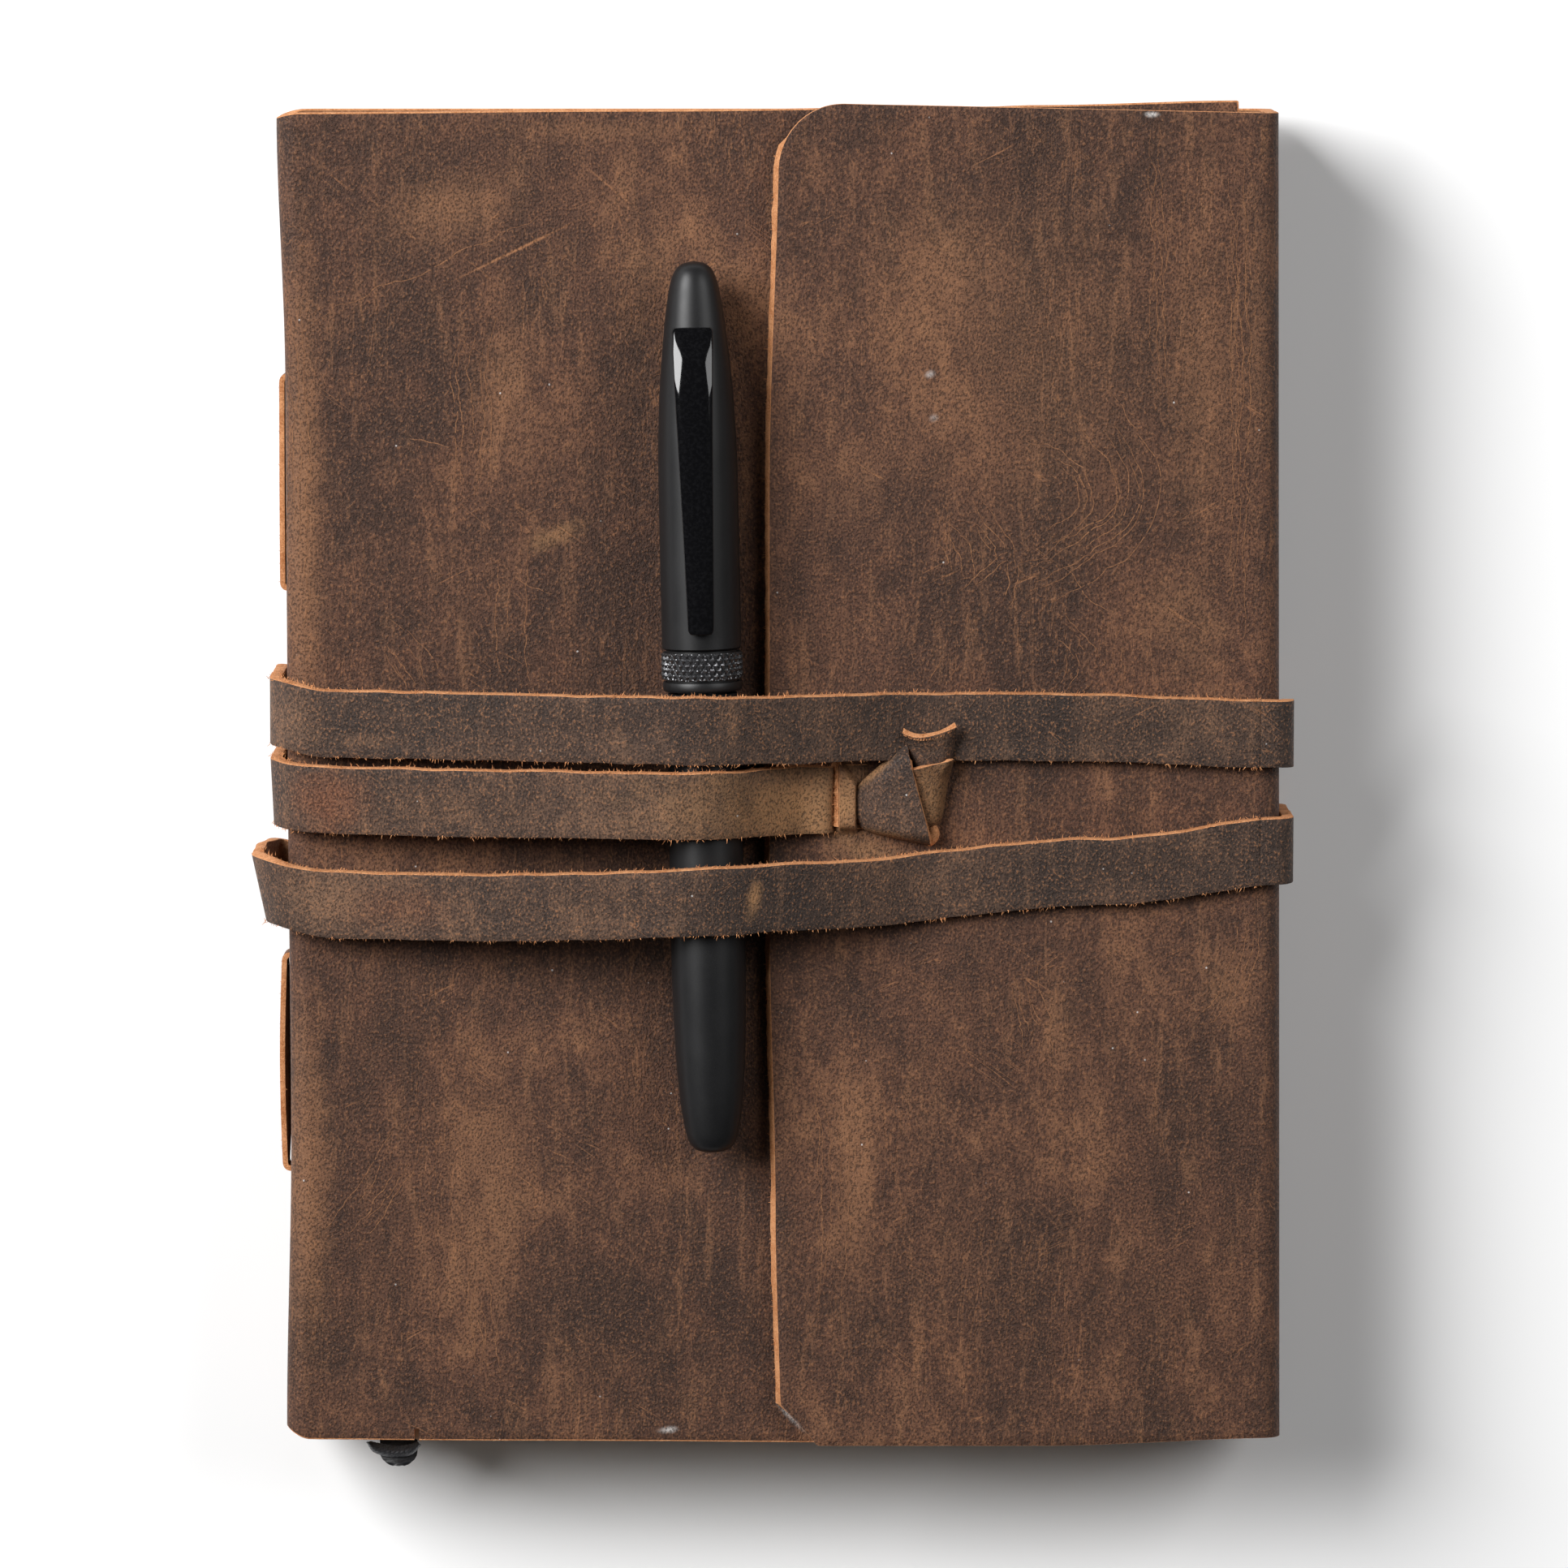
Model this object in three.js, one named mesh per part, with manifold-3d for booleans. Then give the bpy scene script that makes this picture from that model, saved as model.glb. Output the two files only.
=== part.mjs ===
// A wrap-around leather notebook cover, closed, with its laced-in refill, its long thong wound
// three times round it and knotted to the front flap, and the capped pen that the thong holds.
// Millimetres. +X to the fore edge, +Y to the head, +Z up off the table. The cover lies on its back.

import * as THREE from "three";
import ManifoldModule from "manifold-3d";

const manifoldLibrary = await ManifoldModule();
manifoldLibrary.setup();
const { Manifold, Mesh: ManifoldMesh } = manifoldLibrary;

// ---- Driving dimensions -------------------------------------------------------------------

const GAP = 0.3; // air between neighbouring pieces

// the hide
const HIDE = 2.0; // thickness of the cover leather
const SPINE_X = -75.2; // outer face of the spine
const FORE_X = 75.6; // outer face of the fore edge
const HEAD_Y = 100.8;
const FOOT_Y = -101.3;
const FRONT_EDGE_X = 69.6; // the front panel's free edge, hidden under the flap
const FRONT_HEAD_RISE = 2.2; // the front panel's head edge climbs towards its free edge
const CORNER = 4.5; // rounded outer corners of the hide
const FLAP_CORNER = 10; // large round at the flap's head corner
const FLAP_CLIP = [5.6, 6.4]; // clipped foot corner of the flap, along X and along Y
const FLAP_BOW = 1.7; // the flap's free edge bows out by this much half way down
const NOTCH = { x: -55.4, width: 0.7, depth: 1.9 }; // small cut in the front panel's foot edge
const FRONT_SET_IN = 0.35; // the front panel lies this far inside the spine's outer face
const FLAP_HEAD_RISE = 1.6; // the flap's head edge climbs towards its free edge
const FLAP_FOOT_DROP = 0.3; // its foot edge falls towards it
const FORE_EDGE_SET_IN = 0.6; // the fore edge stops short of the foot, and of the back panel

// the thong
const STRAP_WIDTH = 10.2;
const STRAP = 1.8; // thickness of the thong

// the lace that holds the refill
const LACE_WIDTH = 5.4;
const LACE = 1.2;
const LACE_RUNS = [
  { name: "spine_lace_upper", low: 27.9, high: 61.0 },
  { name: "spine_lace_lower", low: -61.1, high: -27.4 },
];
const LACE_OUT_X = SPINE_X - 0.4 - LACE; // outer face of a lace's outside run
const LACE_IN_X = SPINE_X + HIDE + GAP + LACE; // inner face of its inside run

// the refill
const CARD = 0.8;
const CARD_OVERHANG = 1; // the cards stand this far past the pages
const PAGE = { width: 133, height: 190, thickness: 2.7 };
const SIGNATURES = 5;
const RIBBON_AFTER = 3; // the ribbon lies on top of this signature
const RIBBON = { thickness: 0.3, width: 5.7, x: -58.5, foot: -105.4, folded: 8.4, fold: 2.8 };

// levels above the table
const STRAP_LOW_Z = 0; // the second back run and the tail
const STRAP_HIGH_Z = STRAP_LOW_Z + STRAP + GAP; // the first back run, which the second crosses
const BACK_Z = STRAP_HIGH_Z + STRAP + GAP;
const BACK_CARD_Z = BACK_Z + HIDE + GAP;
const PAGES_Z = BACK_CARD_Z + CARD + GAP;
const RIBBON_ROOM = RIBBON.thickness + GAP;
const PAGES_TOP = PAGES_Z + SIGNATURES * PAGE.thickness + (SIGNATURES - 1) * GAP + RIBBON_ROOM;
const FRONT_CARD_Z = PAGES_TOP + GAP;
const FRONT_Z = FRONT_CARD_Z + CARD + GAP;
const FLAP_Z = FRONT_Z + HIDE + 0.4;
const FLAP_TOP = FLAP_Z + HIDE;
const RUN_Z = FLAP_TOP + GAP + STRAP / 2; // middle of a front run where it lies on the flap

// the pen, measured along its axis from the tail
const PEN = {
  tail: [-10.2, -56.0],
  top: [-13.0, 78.8],
  z: FRONT_Z + HIDE + GAP + 6.15, // it lies on its knurled band, the widest place
  capFrom: 70.15,
  bandFrom: 71.9,
  bandTo: 76.2,
  barrelRadius: 5.6,
};
const PEN_LENGTH = Math.hypot(PEN.top[0] - PEN.tail[0], PEN.top[1] - PEN.tail[1]);

// the turns of the thong. course: the middle of a run on the page, as [X, Y], from the spine to
// the fore edge. out: air between its bend and the spine. backZ: level of the back run it joins
const TURNS = {
  top: {
    course: [[-75, 10], [-68, 8.9], [0, 8.6], [42, 8.4], [77, 7.4]],
    out: 0.4,
    backZ: STRAP_LOW_Z,
  },
  middle: {
    course: [[-75, -1.4], [-55, -3], [8, -2.6]],
    out: 0.4,
    backZ: STRAP_HIGH_Z,
  },
  bottom: {
    course: [[-77, -16.2], [-68, -18.4], [-50, -18.6], [8, -16.6], [49, -13.5], [77, -10.4]],
    out: 2.3,
    backZ: STRAP_LOW_Z,
  },
};
const TENT_CROWN = 1.0; // stiff leather stands this much off the pen
const TOUCHDOWN_X = 21; // where a run comes down on the flap beyond the pen
const TIGHT_BEND = 1.2; // reach of a bend drawn tight round a corner of the hide
const EASY_BEND = 2.5; // reach of a bend with air inside it
const TENT_BEND = { over: 5, down: 3 }; // reach of the bends over the pen and back to the flap

// the slits in the flap and the bridge of hide between them
const SLIT = { left: 7.6, right: 12.9, low: -7.8, high: 2.7 };
const BRIDGE = { left: 8.7, right: 11.8 };
const BRIDGE_LIFT = STRAP + GAP + 0.3; // the thong under it lifts the bridge by this much
const BRIDGE_BEND = 0.35; // reach of its four bends
// where its four bends are, outwards from the window's ends
const BRIDGE_FOOT = { end: 2.0, low: 1.4, high: 0.8 };

// how many thicknesses of thong the knot's fold and wrap stand up
const FOLD_LAYERS = 2.2;
const WRAP_LAYERS = 1.6;

// ---- Materials ----------------------------------------------------------------------------

const finish = (color, roughness, metalness = 0) =>
  new THREE.MeshStandardMaterial({ color, roughness, metalness });
const HIDE_BROWN = finish(0x5f4232, 0.62);
const STRAP_BROWN = finish(0x584032, 0.66);
const LACE_BROWN = finish(0x6b4630, 0.7);
const CARD_KRAFT = finish(0xa98457, 0.85);
const PAPER_CREAM = finish(0xf1ead8, 0.9);
const RIBBON_BLACK = finish(0x1c1c20, 0.6);
const PEN_MATTE = finish(0x1d1d1f, 0.5, 0.3);
const PEN_GLOSS = finish(0x0c0c0e, 0.16, 0.4);
const STEEL = finish(0x9a9ca0, 0.3, 1);
const INK_TUBE = finish(0xd8d8d4, 0.4);

// ---- Helpers ------------------------------------------------------------------------------

const cover = new THREE.Group();
cover.name = "leather_notebook_cover";

function addMesh(parent, name, geometry, material) {
  const mesh = new THREE.Mesh(geometry, material);
  mesh.name = name;
  parent.add(mesh);
  return mesh;
}

function addBox(parent, name, low, high, material) {
  const size = high.map((value, axis) => value - low[axis]);
  const mesh = addMesh(parent, name, new THREE.BoxGeometry(...size), material);
  mesh.position.set(...low.map((value, axis) => value + size[axis] / 2));
  return mesh;
}

// a flat outline in X and Y, given thickness upwards from z
function plate(shape, z, thickness) {
  const geometry = new THREE.ExtrudeGeometry(shape, {
    depth: thickness,
    bevelEnabled: false,
    curveSegments: 10,
  });
  return geometry.translate(0, 0, z);
}

// an outline in X and Z, given a width along Y about y = 0
function profileAlongY(shape, width) {
  const geometry = new THREE.ExtrudeGeometry(shape, { depth: width, bevelEnabled: false });
  return geometry.rotateX(Math.PI / 2).translate(0, width / 2, 0);
}

// the closed outline of a strip that follows a path, half its thickness to each side
function stripOutline(path, thickness, divisions) {
  const points = path.getPoints(divisions);
  const sides = [[], []];
  points.forEach((point, index) => {
    const before = points[Math.max(index - 1, 0)];
    const after = points[Math.min(index + 1, points.length - 1)];
    const along = after.clone().sub(before).normalize();
    const across = new THREE.Vector2(-along.y, along.x).multiplyScalar(thickness / 2);
    sides[0].push(point.clone().add(across));
    sides[1].unshift(point.clone().sub(across));
  });
  return new THREE.Shape([...sides[0], ...sides[1]]);
}

// straight stretches whose corners are rounded off by a given reach; corners are [x, z, reach]
function roundedPath(corners) {
  const path = new THREE.Path();
  const points = corners.map(([x, z]) => new THREE.Vector2(x, z));
  path.moveTo(points[0].x, points[0].y);
  for (let i = 1; i < points.length - 1; i += 1) {
    const reach = corners[i][2];
    const into = points[i].clone().add(points[i - 1].clone().sub(points[i]).setLength(reach));
    const out = points[i].clone().add(points[i + 1].clone().sub(points[i]).setLength(reach));
    path.lineTo(into.x, into.y);
    path.quadraticCurveTo(points[i].x, points[i].y, out.x, out.y);
  }
  const last = points[points.length - 1];
  path.lineTo(last.x, last.y);
  return path;
}

// moves each point of a strip along Y by what the run's course gives at that X
function shiftAlongCourse(geometry, course) {
  const place = geometry.attributes.position;
  for (let i = 0; i < place.count; i += 1) {
    place.setY(i, place.getY(i) + course(place.getX(i)));
  }
  geometry.computeVertexNormals();
  return geometry;
}

function toManifold(geometry) {
  const corners = geometry.index ? geometry.toNonIndexed() : geometry;
  const count = corners.attributes.position.count;
  const mesh = new ManifoldMesh({
    numProp: 3,
    vertProperties: new Float32Array(corners.attributes.position.array),
    triVerts: Uint32Array.from({ length: count }, (unused, index) => index),
  });
  mesh.merge();
  return new Manifold(mesh);
}

function fromManifold(manifold) {
  const mesh = manifold.getMesh();
  const geometry = new THREE.BufferGeometry();
  geometry.setAttribute("position", new THREE.BufferAttribute(mesh.vertProperties, 3));
  geometry.setIndex(new THREE.BufferAttribute(mesh.triVerts, 1));
  geometry.computeVertexNormals();
  return geometry;
}

// a solid box between two corners, ready to cut or join
function block(low, high) {
  const size = high.map((value, axis) => value - low[axis]);
  const middle = low.map((value, axis) => value + size[axis] / 2);
  return toManifold(new THREE.BoxGeometry(...size).translate(...middle));
}

function rectangle(left, right, low, high) {
  return [[left, low], [right, low], [right, high], [left, high]].map(
    ([x, y]) => new THREE.Vector2(x, y),
  );
}

// ---- The hide -----------------------------------------------------------------------------

// The back panel, from just inside the spine to the fore edge.
function backPanel() {
  const left = SPINE_X + HIDE + GAP;
  return plate(new THREE.Shape(rectangle(left, FORE_X, FOOT_Y, HEAD_Y)), BACK_Z, HIDE);
}

// The spine stands on edge and has a slit for each place where a lace goes through.
function spinePanel() {
  const top = FRONT_Z - GAP;
  const middle = (BACK_Z + top) / 2;
  const room = GAP + 0.1; // air round the lace
  const halfWide = LACE / 2 + room;
  const halfHigh = LACE_WIDTH / 2 + room;
  let panel = block([SPINE_X, FOOT_Y, BACK_Z], [SPINE_X + HIDE, HEAD_Y, top]);
  LACE_RUNS.forEach(({ low, high }) => {
    [low + LACE / 2, high - LACE / 2].forEach((y) => {
      const slit = block(
        [SPINE_X - HIDE, y - halfWide, middle - halfHigh],
        [SPINE_X + 2 * HIDE, y + halfWide, middle + halfHigh],
      );
      panel = panel.subtract(slit);
    });
  });
  return fromManifold(panel);
}

function frontPanel() {
  const left = SPINE_X + FRONT_SET_IN;
  const shape = new THREE.Shape();
  shape.moveTo(left + CORNER, FOOT_Y);
  shape.lineTo(NOTCH.x - NOTCH.width / 2, FOOT_Y);
  shape.lineTo(NOTCH.x, FOOT_Y + NOTCH.depth);
  shape.lineTo(NOTCH.x + NOTCH.width / 2, FOOT_Y);
  shape.lineTo(FRONT_EDGE_X, FOOT_Y + FORE_EDGE_SET_IN);
  shape.lineTo(FRONT_EDGE_X, HEAD_Y + FRONT_HEAD_RISE);
  shape.lineTo(left, HEAD_Y);
  shape.lineTo(left, FOOT_Y + CORNER);
  shape.quadraticCurveTo(left, FOOT_Y, left + CORNER, FOOT_Y);
  return plate(shape, FRONT_Z, HIDE);
}

function foreEdgePanel() {
  const low = [FORE_X - HIDE, FOOT_Y + FORE_EDGE_SET_IN, BACK_Z + HIDE + GAP + 0.1];
  const high = [FORE_X, HEAD_Y, FLAP_Z - GAP];
  return { low, high };
}

// The flap, with the window that its two slits make and the bridge that the thong lifts.
function flapPanel() {
  const headY = HEAD_Y + FLAP_HEAD_RISE;
  const footY = FOOT_Y - FLAP_FOOT_DROP;
  const foreEdgeFootY = FOOT_Y + 2 * FORE_EDGE_SET_IN;
  const shape = new THREE.Shape();
  shape.moveTo(FORE_X, foreEdgeFootY);
  shape.lineTo(FORE_X, HEAD_Y);
  shape.lineTo(FLAP_CORNER, headY);
  shape.quadraticCurveTo(0, headY, 0, headY - FLAP_CORNER);
  shape.quadraticCurveTo(-2 * FLAP_BOW, 0, 0, footY + FLAP_CLIP[1]);
  shape.lineTo(FLAP_CLIP[0], footY);
  shape.lineTo(FORE_X, foreEdgeFootY);
  shape.holes.push(new THREE.Path(rectangle(SLIT.left, SLIT.right, SLIT.low, SLIT.high)));
  const panel = toManifold(plate(shape, FLAP_Z, HIDE));

  const flatZ = FLAP_Z + HIDE / 2;
  const archZ = flatZ + BRIDGE_LIFT;
  const arch = roundedPath([
    [SLIT.low - BRIDGE_FOOT.end, flatZ, 0],
    [SLIT.low - BRIDGE_FOOT.low, flatZ, BRIDGE_BEND],
    [SLIT.low - BRIDGE_FOOT.high, archZ, BRIDGE_BEND],
    [SLIT.high + BRIDGE_FOOT.high, archZ, BRIDGE_BEND],
    [SLIT.high + BRIDGE_FOOT.low, flatZ, BRIDGE_BEND],
    [SLIT.high + BRIDGE_FOOT.end, flatZ, 0],
  ]);
  const strip = profileAlongY(stripOutline(arch, 0.9 * HIDE, 3), BRIDGE.right - BRIDGE.left);
  strip.rotateZ(Math.PI / 2).translate((BRIDGE.left + BRIDGE.right) / 2, 0, 0);
  return fromManifold(panel.add(toManifold(strip)));
}

// ---- The laces ----------------------------------------------------------------------------

// A lace is one loop: along the outside of the spine, in through a slit, and back along the inside.
function laceLoop({ low, high }) {
  const shape = new THREE.Shape(rectangle(LACE_OUT_X, LACE_IN_X, low, high));
  const inside = rectangle(LACE_OUT_X + LACE, LACE_IN_X - LACE, low + LACE, high - LACE);
  shape.holes.push(new THREE.Path(inside));
  const middle = (BACK_Z + FRONT_Z - GAP) / 2;
  return plate(shape, middle - LACE_WIDTH / 2, LACE_WIDTH);
}

// ---- The refill ---------------------------------------------------------------------------

const REFILL_X = LACE_IN_X + GAP; // outer face of the refill's card spine
const PAGES_X = REFILL_X + CARD + GAP;

function addRefill(parent) {
  const right = PAGES_X + PAGE.width + CARD_OVERHANG;
  const half = PAGE.height / 2;
  const cardHalf = half + CARD_OVERHANG;
  addBox(parent, "refill_back_card", [PAGES_X, -cardHalf, BACK_CARD_Z],
    [right, cardHalf, BACK_CARD_Z + CARD], CARD_KRAFT);
  addBox(parent, "refill_spine_card", [REFILL_X, -cardHalf, BACK_CARD_Z],
    [REFILL_X + CARD, cardHalf, PAGES_TOP], CARD_KRAFT);
  for (let n = 1; n <= SIGNATURES; n += 1) {
    const room = n > RIBBON_AFTER ? RIBBON_ROOM : 0;
    const z = PAGES_Z + (n - 1) * (PAGE.thickness + GAP) + room;
    addBox(parent, `page_signature_${n}`, [PAGES_X, -half, z],
      [PAGES_X + PAGE.width, half, z + PAGE.thickness], PAPER_CREAM);
  }
  addBox(parent, "refill_front_card", [PAGES_X, -cardHalf, FRONT_CARD_Z],
    [right, cardHalf, FRONT_CARD_Z + CARD], CARD_KRAFT);
}

// The ribbon lies along the gutter side of the pages and comes out at the foot, folded over.
function ribbonMarker() {
  const z = PAGES_Z + RIBBON_AFTER * (PAGE.thickness + GAP);
  const half = RIBBON.width / 2;
  const wide = RIBBON.folded / 2;
  const topY = PAGE.height / 2 - CARD_OVERHANG;
  const foldY = RIBBON.foot + RIBBON.fold;
  const shape = new THREE.Shape();
  shape.moveTo(RIBBON.x - half, topY);
  shape.lineTo(RIBBON.x - half, foldY + GAP);
  shape.lineTo(RIBBON.x - wide, foldY);
  shape.lineTo(RIBBON.x - wide, RIBBON.foot);
  shape.lineTo(RIBBON.x + wide, RIBBON.foot);
  shape.lineTo(RIBBON.x + wide, foldY);
  shape.lineTo(RIBBON.x + half, foldY + GAP);
  shape.lineTo(RIBBON.x + half, topY);
  return plate(shape, z, RIBBON.thickness);
}

// ---- The thong ----------------------------------------------------------------------------

const SIDE_X = 71.6; // a back run ends this far out, short of the bend that carries it on
const FRONT_END_X = 72.4; // a front run ends here, where the bend down the fore edge starts
const TAIL_END_X = -8; // the tail is tucked under the back as far as this
const penXAt = (y) =>
  PEN.tail[0] + ((PEN.top[0] - PEN.tail[0]) * (y - PEN.tail[1])) / (PEN.top[1] - PEN.tail[1]);

// a run's middle in Y at a place along X
function alongCourse(course) {
  return (x) => {
    const next = Math.max(1, course.findIndex(([knotX]) => knotX >= x));
    const [[fromX, fromY], [toX, toY]] = [course[next - 1], course[next]];
    const share = THREE.MathUtils.clamp((x - fromX) / (toX - fromX), 0, 1);
    return THREE.MathUtils.lerp(fromY, toY, share);
  };
}

// a front run with the bend round the spine that it grows out of
function frontRun(turn, rightEnd, touchdown) {
  const outX = SPINE_X - turn.out - STRAP / 2;
  const penX = penXAt(turn.course[1][1]);
  const apexZ = PEN.z + PEN.barrelRadius + GAP + STRAP / 2 + TENT_CROWN;
  const backZ = turn.backZ + STRAP / 2;
  const path = roundedPath([
    [-SIDE_X - GAP, backZ, 0],
    [outX, backZ, turn.backZ > STRAP_LOW_Z ? TIGHT_BEND : EASY_BEND],
    [outX, FRONT_Z + HIDE + GAP + STRAP / 2 + 0.4, EASY_BEND],
    [penX, apexZ, TENT_BEND.over],
    [touchdown, RUN_Z, TENT_BEND.down],
    [rightEnd, RUN_Z, 0],
  ]);
  const strap = profileAlongY(stripOutline(path, STRAP, 6), STRAP_WIDTH);
  return shiftAlongCourse(strap, alongCourse(turn.course));
}

// a straight run across the back, from the bend at the spine to the bend at the fore edge
function backRun(z, leftY, rightY, endX = SIDE_X) {
  const path = roundedPath([[-SIDE_X, z + STRAP / 2, 0], [endX, z + STRAP / 2, 0]]);
  const strip = profileAlongY(stripOutline(path, STRAP, 4), STRAP_WIDTH);
  const slope = (rightY - leftY) / (2 * SIDE_X);
  return shiftAlongCourse(strip, (x) => leftY + slope * (x + SIDE_X));
}

// the bend up the fore edge, from a back run to the end of the next front run
function foreEdgeTurn(backZ, y) {
  const outX = FORE_X + GAP + STRAP / 2;
  const path = roundedPath([
    [SIDE_X + GAP, backZ + STRAP / 2, 0],
    [outX, backZ + STRAP / 2, TIGHT_BEND],
    [outX, RUN_Z, TIGHT_BEND],
    [FRONT_END_X + GAP, RUN_Z, 0],
  ]);
  return shiftAlongCourse(profileAlongY(stripOutline(path, STRAP, 6), STRAP_WIDTH), () => y);
}

function addThong(parent) {
  const { top, middle, bottom } = TURNS;
  const spineY = ({ course }) => course[0][1];
  const foreEdgeY = ({ course }) => course[course.length - 1][1];
  const tailY = spineY(bottom);
  const pieces = {
    strap_back_run_first: backRun(STRAP_HIGH_Z, spineY(middle), foreEdgeY(top)),
    strap_back_run_second: backRun(STRAP_LOW_Z, spineY(top), foreEdgeY(bottom)),
    strap_back_tail: backRun(STRAP_LOW_Z, tailY, tailY + 3, TAIL_END_X),
    strap_fore_edge_turn_upper: foreEdgeTurn(STRAP_HIGH_Z, foreEdgeY(top)),
    strap_fore_edge_turn_lower: foreEdgeTurn(STRAP_LOW_Z, foreEdgeY(bottom)),
    strap_top_run: frontRun(top, FRONT_END_X, TOUCHDOWN_X),
    strap_middle_run: frontRun(middle, SLIT.left - GAP, SLIT.left - 2.2),
    strap_bottom_run: frontRun(bottom, FRONT_END_X, TOUCHDOWN_X),
  };
  Object.entries(pieces).forEach(([name, geometry]) => {
    addMesh(parent, name, geometry, STRAP_BROWN);
  });
}

// The thong's end goes down through one slit, under the bridge, up through the other, and is
// folded over itself twice, so that it can't pull back.
function addKnot(parent) {
  const low = SLIT.low + GAP;
  const high = SLIT.high - GAP;
  addBox(parent, "strap_tuck", [SLIT.left + GAP, low, FRONT_Z + HIDE + GAP],
    [SLIT.right - GAP, high, FRONT_Z + HIDE + GAP + STRAP], STRAP_BROWN);
  const lieZ = FLAP_TOP + GAP;
  const fold = new THREE.Shape([
    new THREE.Vector2(SLIT.right + GAP, -7.0),
    new THREE.Vector2(22.6, -9.3),
    new THREE.Vector2(20.6, 1.4),
    new THREE.Vector2(19.6, 3.1),
    new THREE.Vector2(15.0, 2.4),
    new THREE.Vector2(SLIT.right + GAP, -1.0),
  ]);
  addMesh(parent, "strap_knot_fold", plate(fold, lieZ, FOLD_LAYERS * STRAP), STRAP_BROWN);
  const wrap = new THREE.Shape([
    new THREE.Vector2(22.2, -5.6),
    new THREE.Vector2(24.2, -5.5),
    new THREE.Vector2(25.9, 2.2),
    new THREE.Vector2(21.0, 1.4),
  ]);
  addMesh(parent, "strap_knot_wrap", plate(wrap, lieZ, WRAP_LAYERS * STRAP), STRAP_BROWN);
  const end = new THREE.Shape([
    new THREE.Vector2(19.9, 3.8),
    new THREE.Vector2(25.7, 3.3),
    new THREE.Vector2(26.5, 8.6),
    new THREE.Vector2(18.6, 7.2),
  ]);
  addMesh(parent, "strap_end", plate(end, lieZ + 2 * STRAP + GAP, STRAP), STRAP_BROWN);
}

// ---- The pen ------------------------------------------------------------------------------

// Each turned piece's profile is a list of [radius, distance from the tail].
function turned(profile, segments = 40) {
  const points = profile.map(([radius, along]) => new THREE.Vector2(radius, along));
  return new THREE.LatheGeometry(points, segments);
}

const BARREL = [
  [0, 0], [2.6, 0], [3.4, 0.6], [4.2, 3.2], [5.0, 9], [5.45, 16], [5.6, 28], [5.5, 45],
  [5.4, 69.8], [4.2, 69.8], [4.0, 6], [0, 6], [0, 0],
];
const GRIP = [
  [3.3, 56], [3.7, 56], [3.7, 70], [4.1, 70.6], [4.1, 74], [3.5, 99], [2.6, 104],
  [1.5, 104], [1.5, 97.5], [3.1, 92], [3.3, 56],
];
const INK = [[0, 12], [2.9, 12], [2.9, 90], [1.1, 97], [1.1, 104.3], [0, 104.3], [0, 12]];
const TIP = [[0, 104.6], [1.9, 104.6], [1.7, 105.6], [0.55, 109.4], [0, 109.7], [0, 104.6]];
const CAP = [
  [4.95, 70.6], [5.35, 70.6], [5.35, 76.5], [6.0, 76.5], [6.0, 112], [5.85, 124],
  [5.3, 130], [3.9, 133.4], [2.2, PEN_LENGTH], [0, PEN_LENGTH], [0, 131], [3.6, 129.5],
  [4.95, 122], [4.95, 70.6],
];
const INNER_CAP = [
  [4.3, 77], [4.65, 77], [4.65, 117], [0, 117], [0, 116.2], [4.3, 116.2], [4.3, 77],
];
const BAND = [[5.65, PEN.bandFrom], [6.15, PEN.bandFrom], [6.15, PEN.bandTo], [5.65, PEN.bandTo],
  [5.65, PEN.bandFrom]];
const LIP = [[5.65, PEN.capFrom], [5.8, PEN.capFrom], [5.95, 70.5], [5.95, 71.6], [5.65, 71.6],
  [5.65, PEN.capFrom]];

// The clip is a tapered blade over the cap, rooted at its upper end.
const CLIP = { foot: 79, root: 125, under: 6.3, over: 8.1, footWidth: 4.0, rootWidth: 5.8 };

function clipBlade() {
  const { foot, root, under, over } = CLIP; // along the pen, and out from its axis
  const ramp = 4; // length of the sloping stretch at each end
  const side = new THREE.Shape();
  side.moveTo(foot, under + 0.2);
  side.lineTo(foot + ramp, under);
  side.lineTo(root, under);
  side.lineTo(root, over - 0.7);
  side.lineTo(root - ramp, over);
  side.lineTo(foot + ramp / 2, over - 0.2);
  side.lineTo(foot, over - 0.6);
  const geometry = new THREE.ExtrudeGeometry(side, { depth: 1, bevelEnabled: false });
  const place = geometry.attributes.position;
  for (let i = 0; i < place.count; i += 1) {
    const along = place.getX(i);
    const width = THREE.MathUtils.mapLinear(along, foot, root, CLIP.footWidth, CLIP.rootWidth);
    place.setXYZ(i, (place.getZ(i) - 0.5) * width, along, place.getY(i));
  }
  return geometry;
}

function addPen(parent) {
  const pen = new THREE.Group();
  pen.position.set(PEN.tail[0], PEN.tail[1], PEN.z);
  pen.rotation.z = Math.atan2(PEN.tail[0] - PEN.top[0], PEN.top[1] - PEN.tail[1]);
  parent.add(pen);
  addMesh(pen, "pen_barrel", turned(BARREL), PEN_MATTE);
  addMesh(pen, "pen_grip_section", turned(GRIP), PEN_MATTE);
  addMesh(pen, "pen_ink_refill", turned(INK, 24), INK_TUBE);
  addMesh(pen, "pen_writing_tip", turned(TIP, 24), STEEL);
  addMesh(pen, "pen_cap_shell", turned(CAP), PEN_MATTE);
  addMesh(pen, "pen_inner_cap", turned(INNER_CAP, 24), INK_TUBE);
  addMesh(pen, "pen_knurled_band", turned(BAND), PEN_GLOSS);
  addMesh(pen, "pen_cap_lip_ring", turned(LIP), PEN_MATTE);
  addMesh(pen, "pen_clip", clipBlade(), PEN_GLOSS);
}

// ---- Assembly -----------------------------------------------------------------------------

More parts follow.
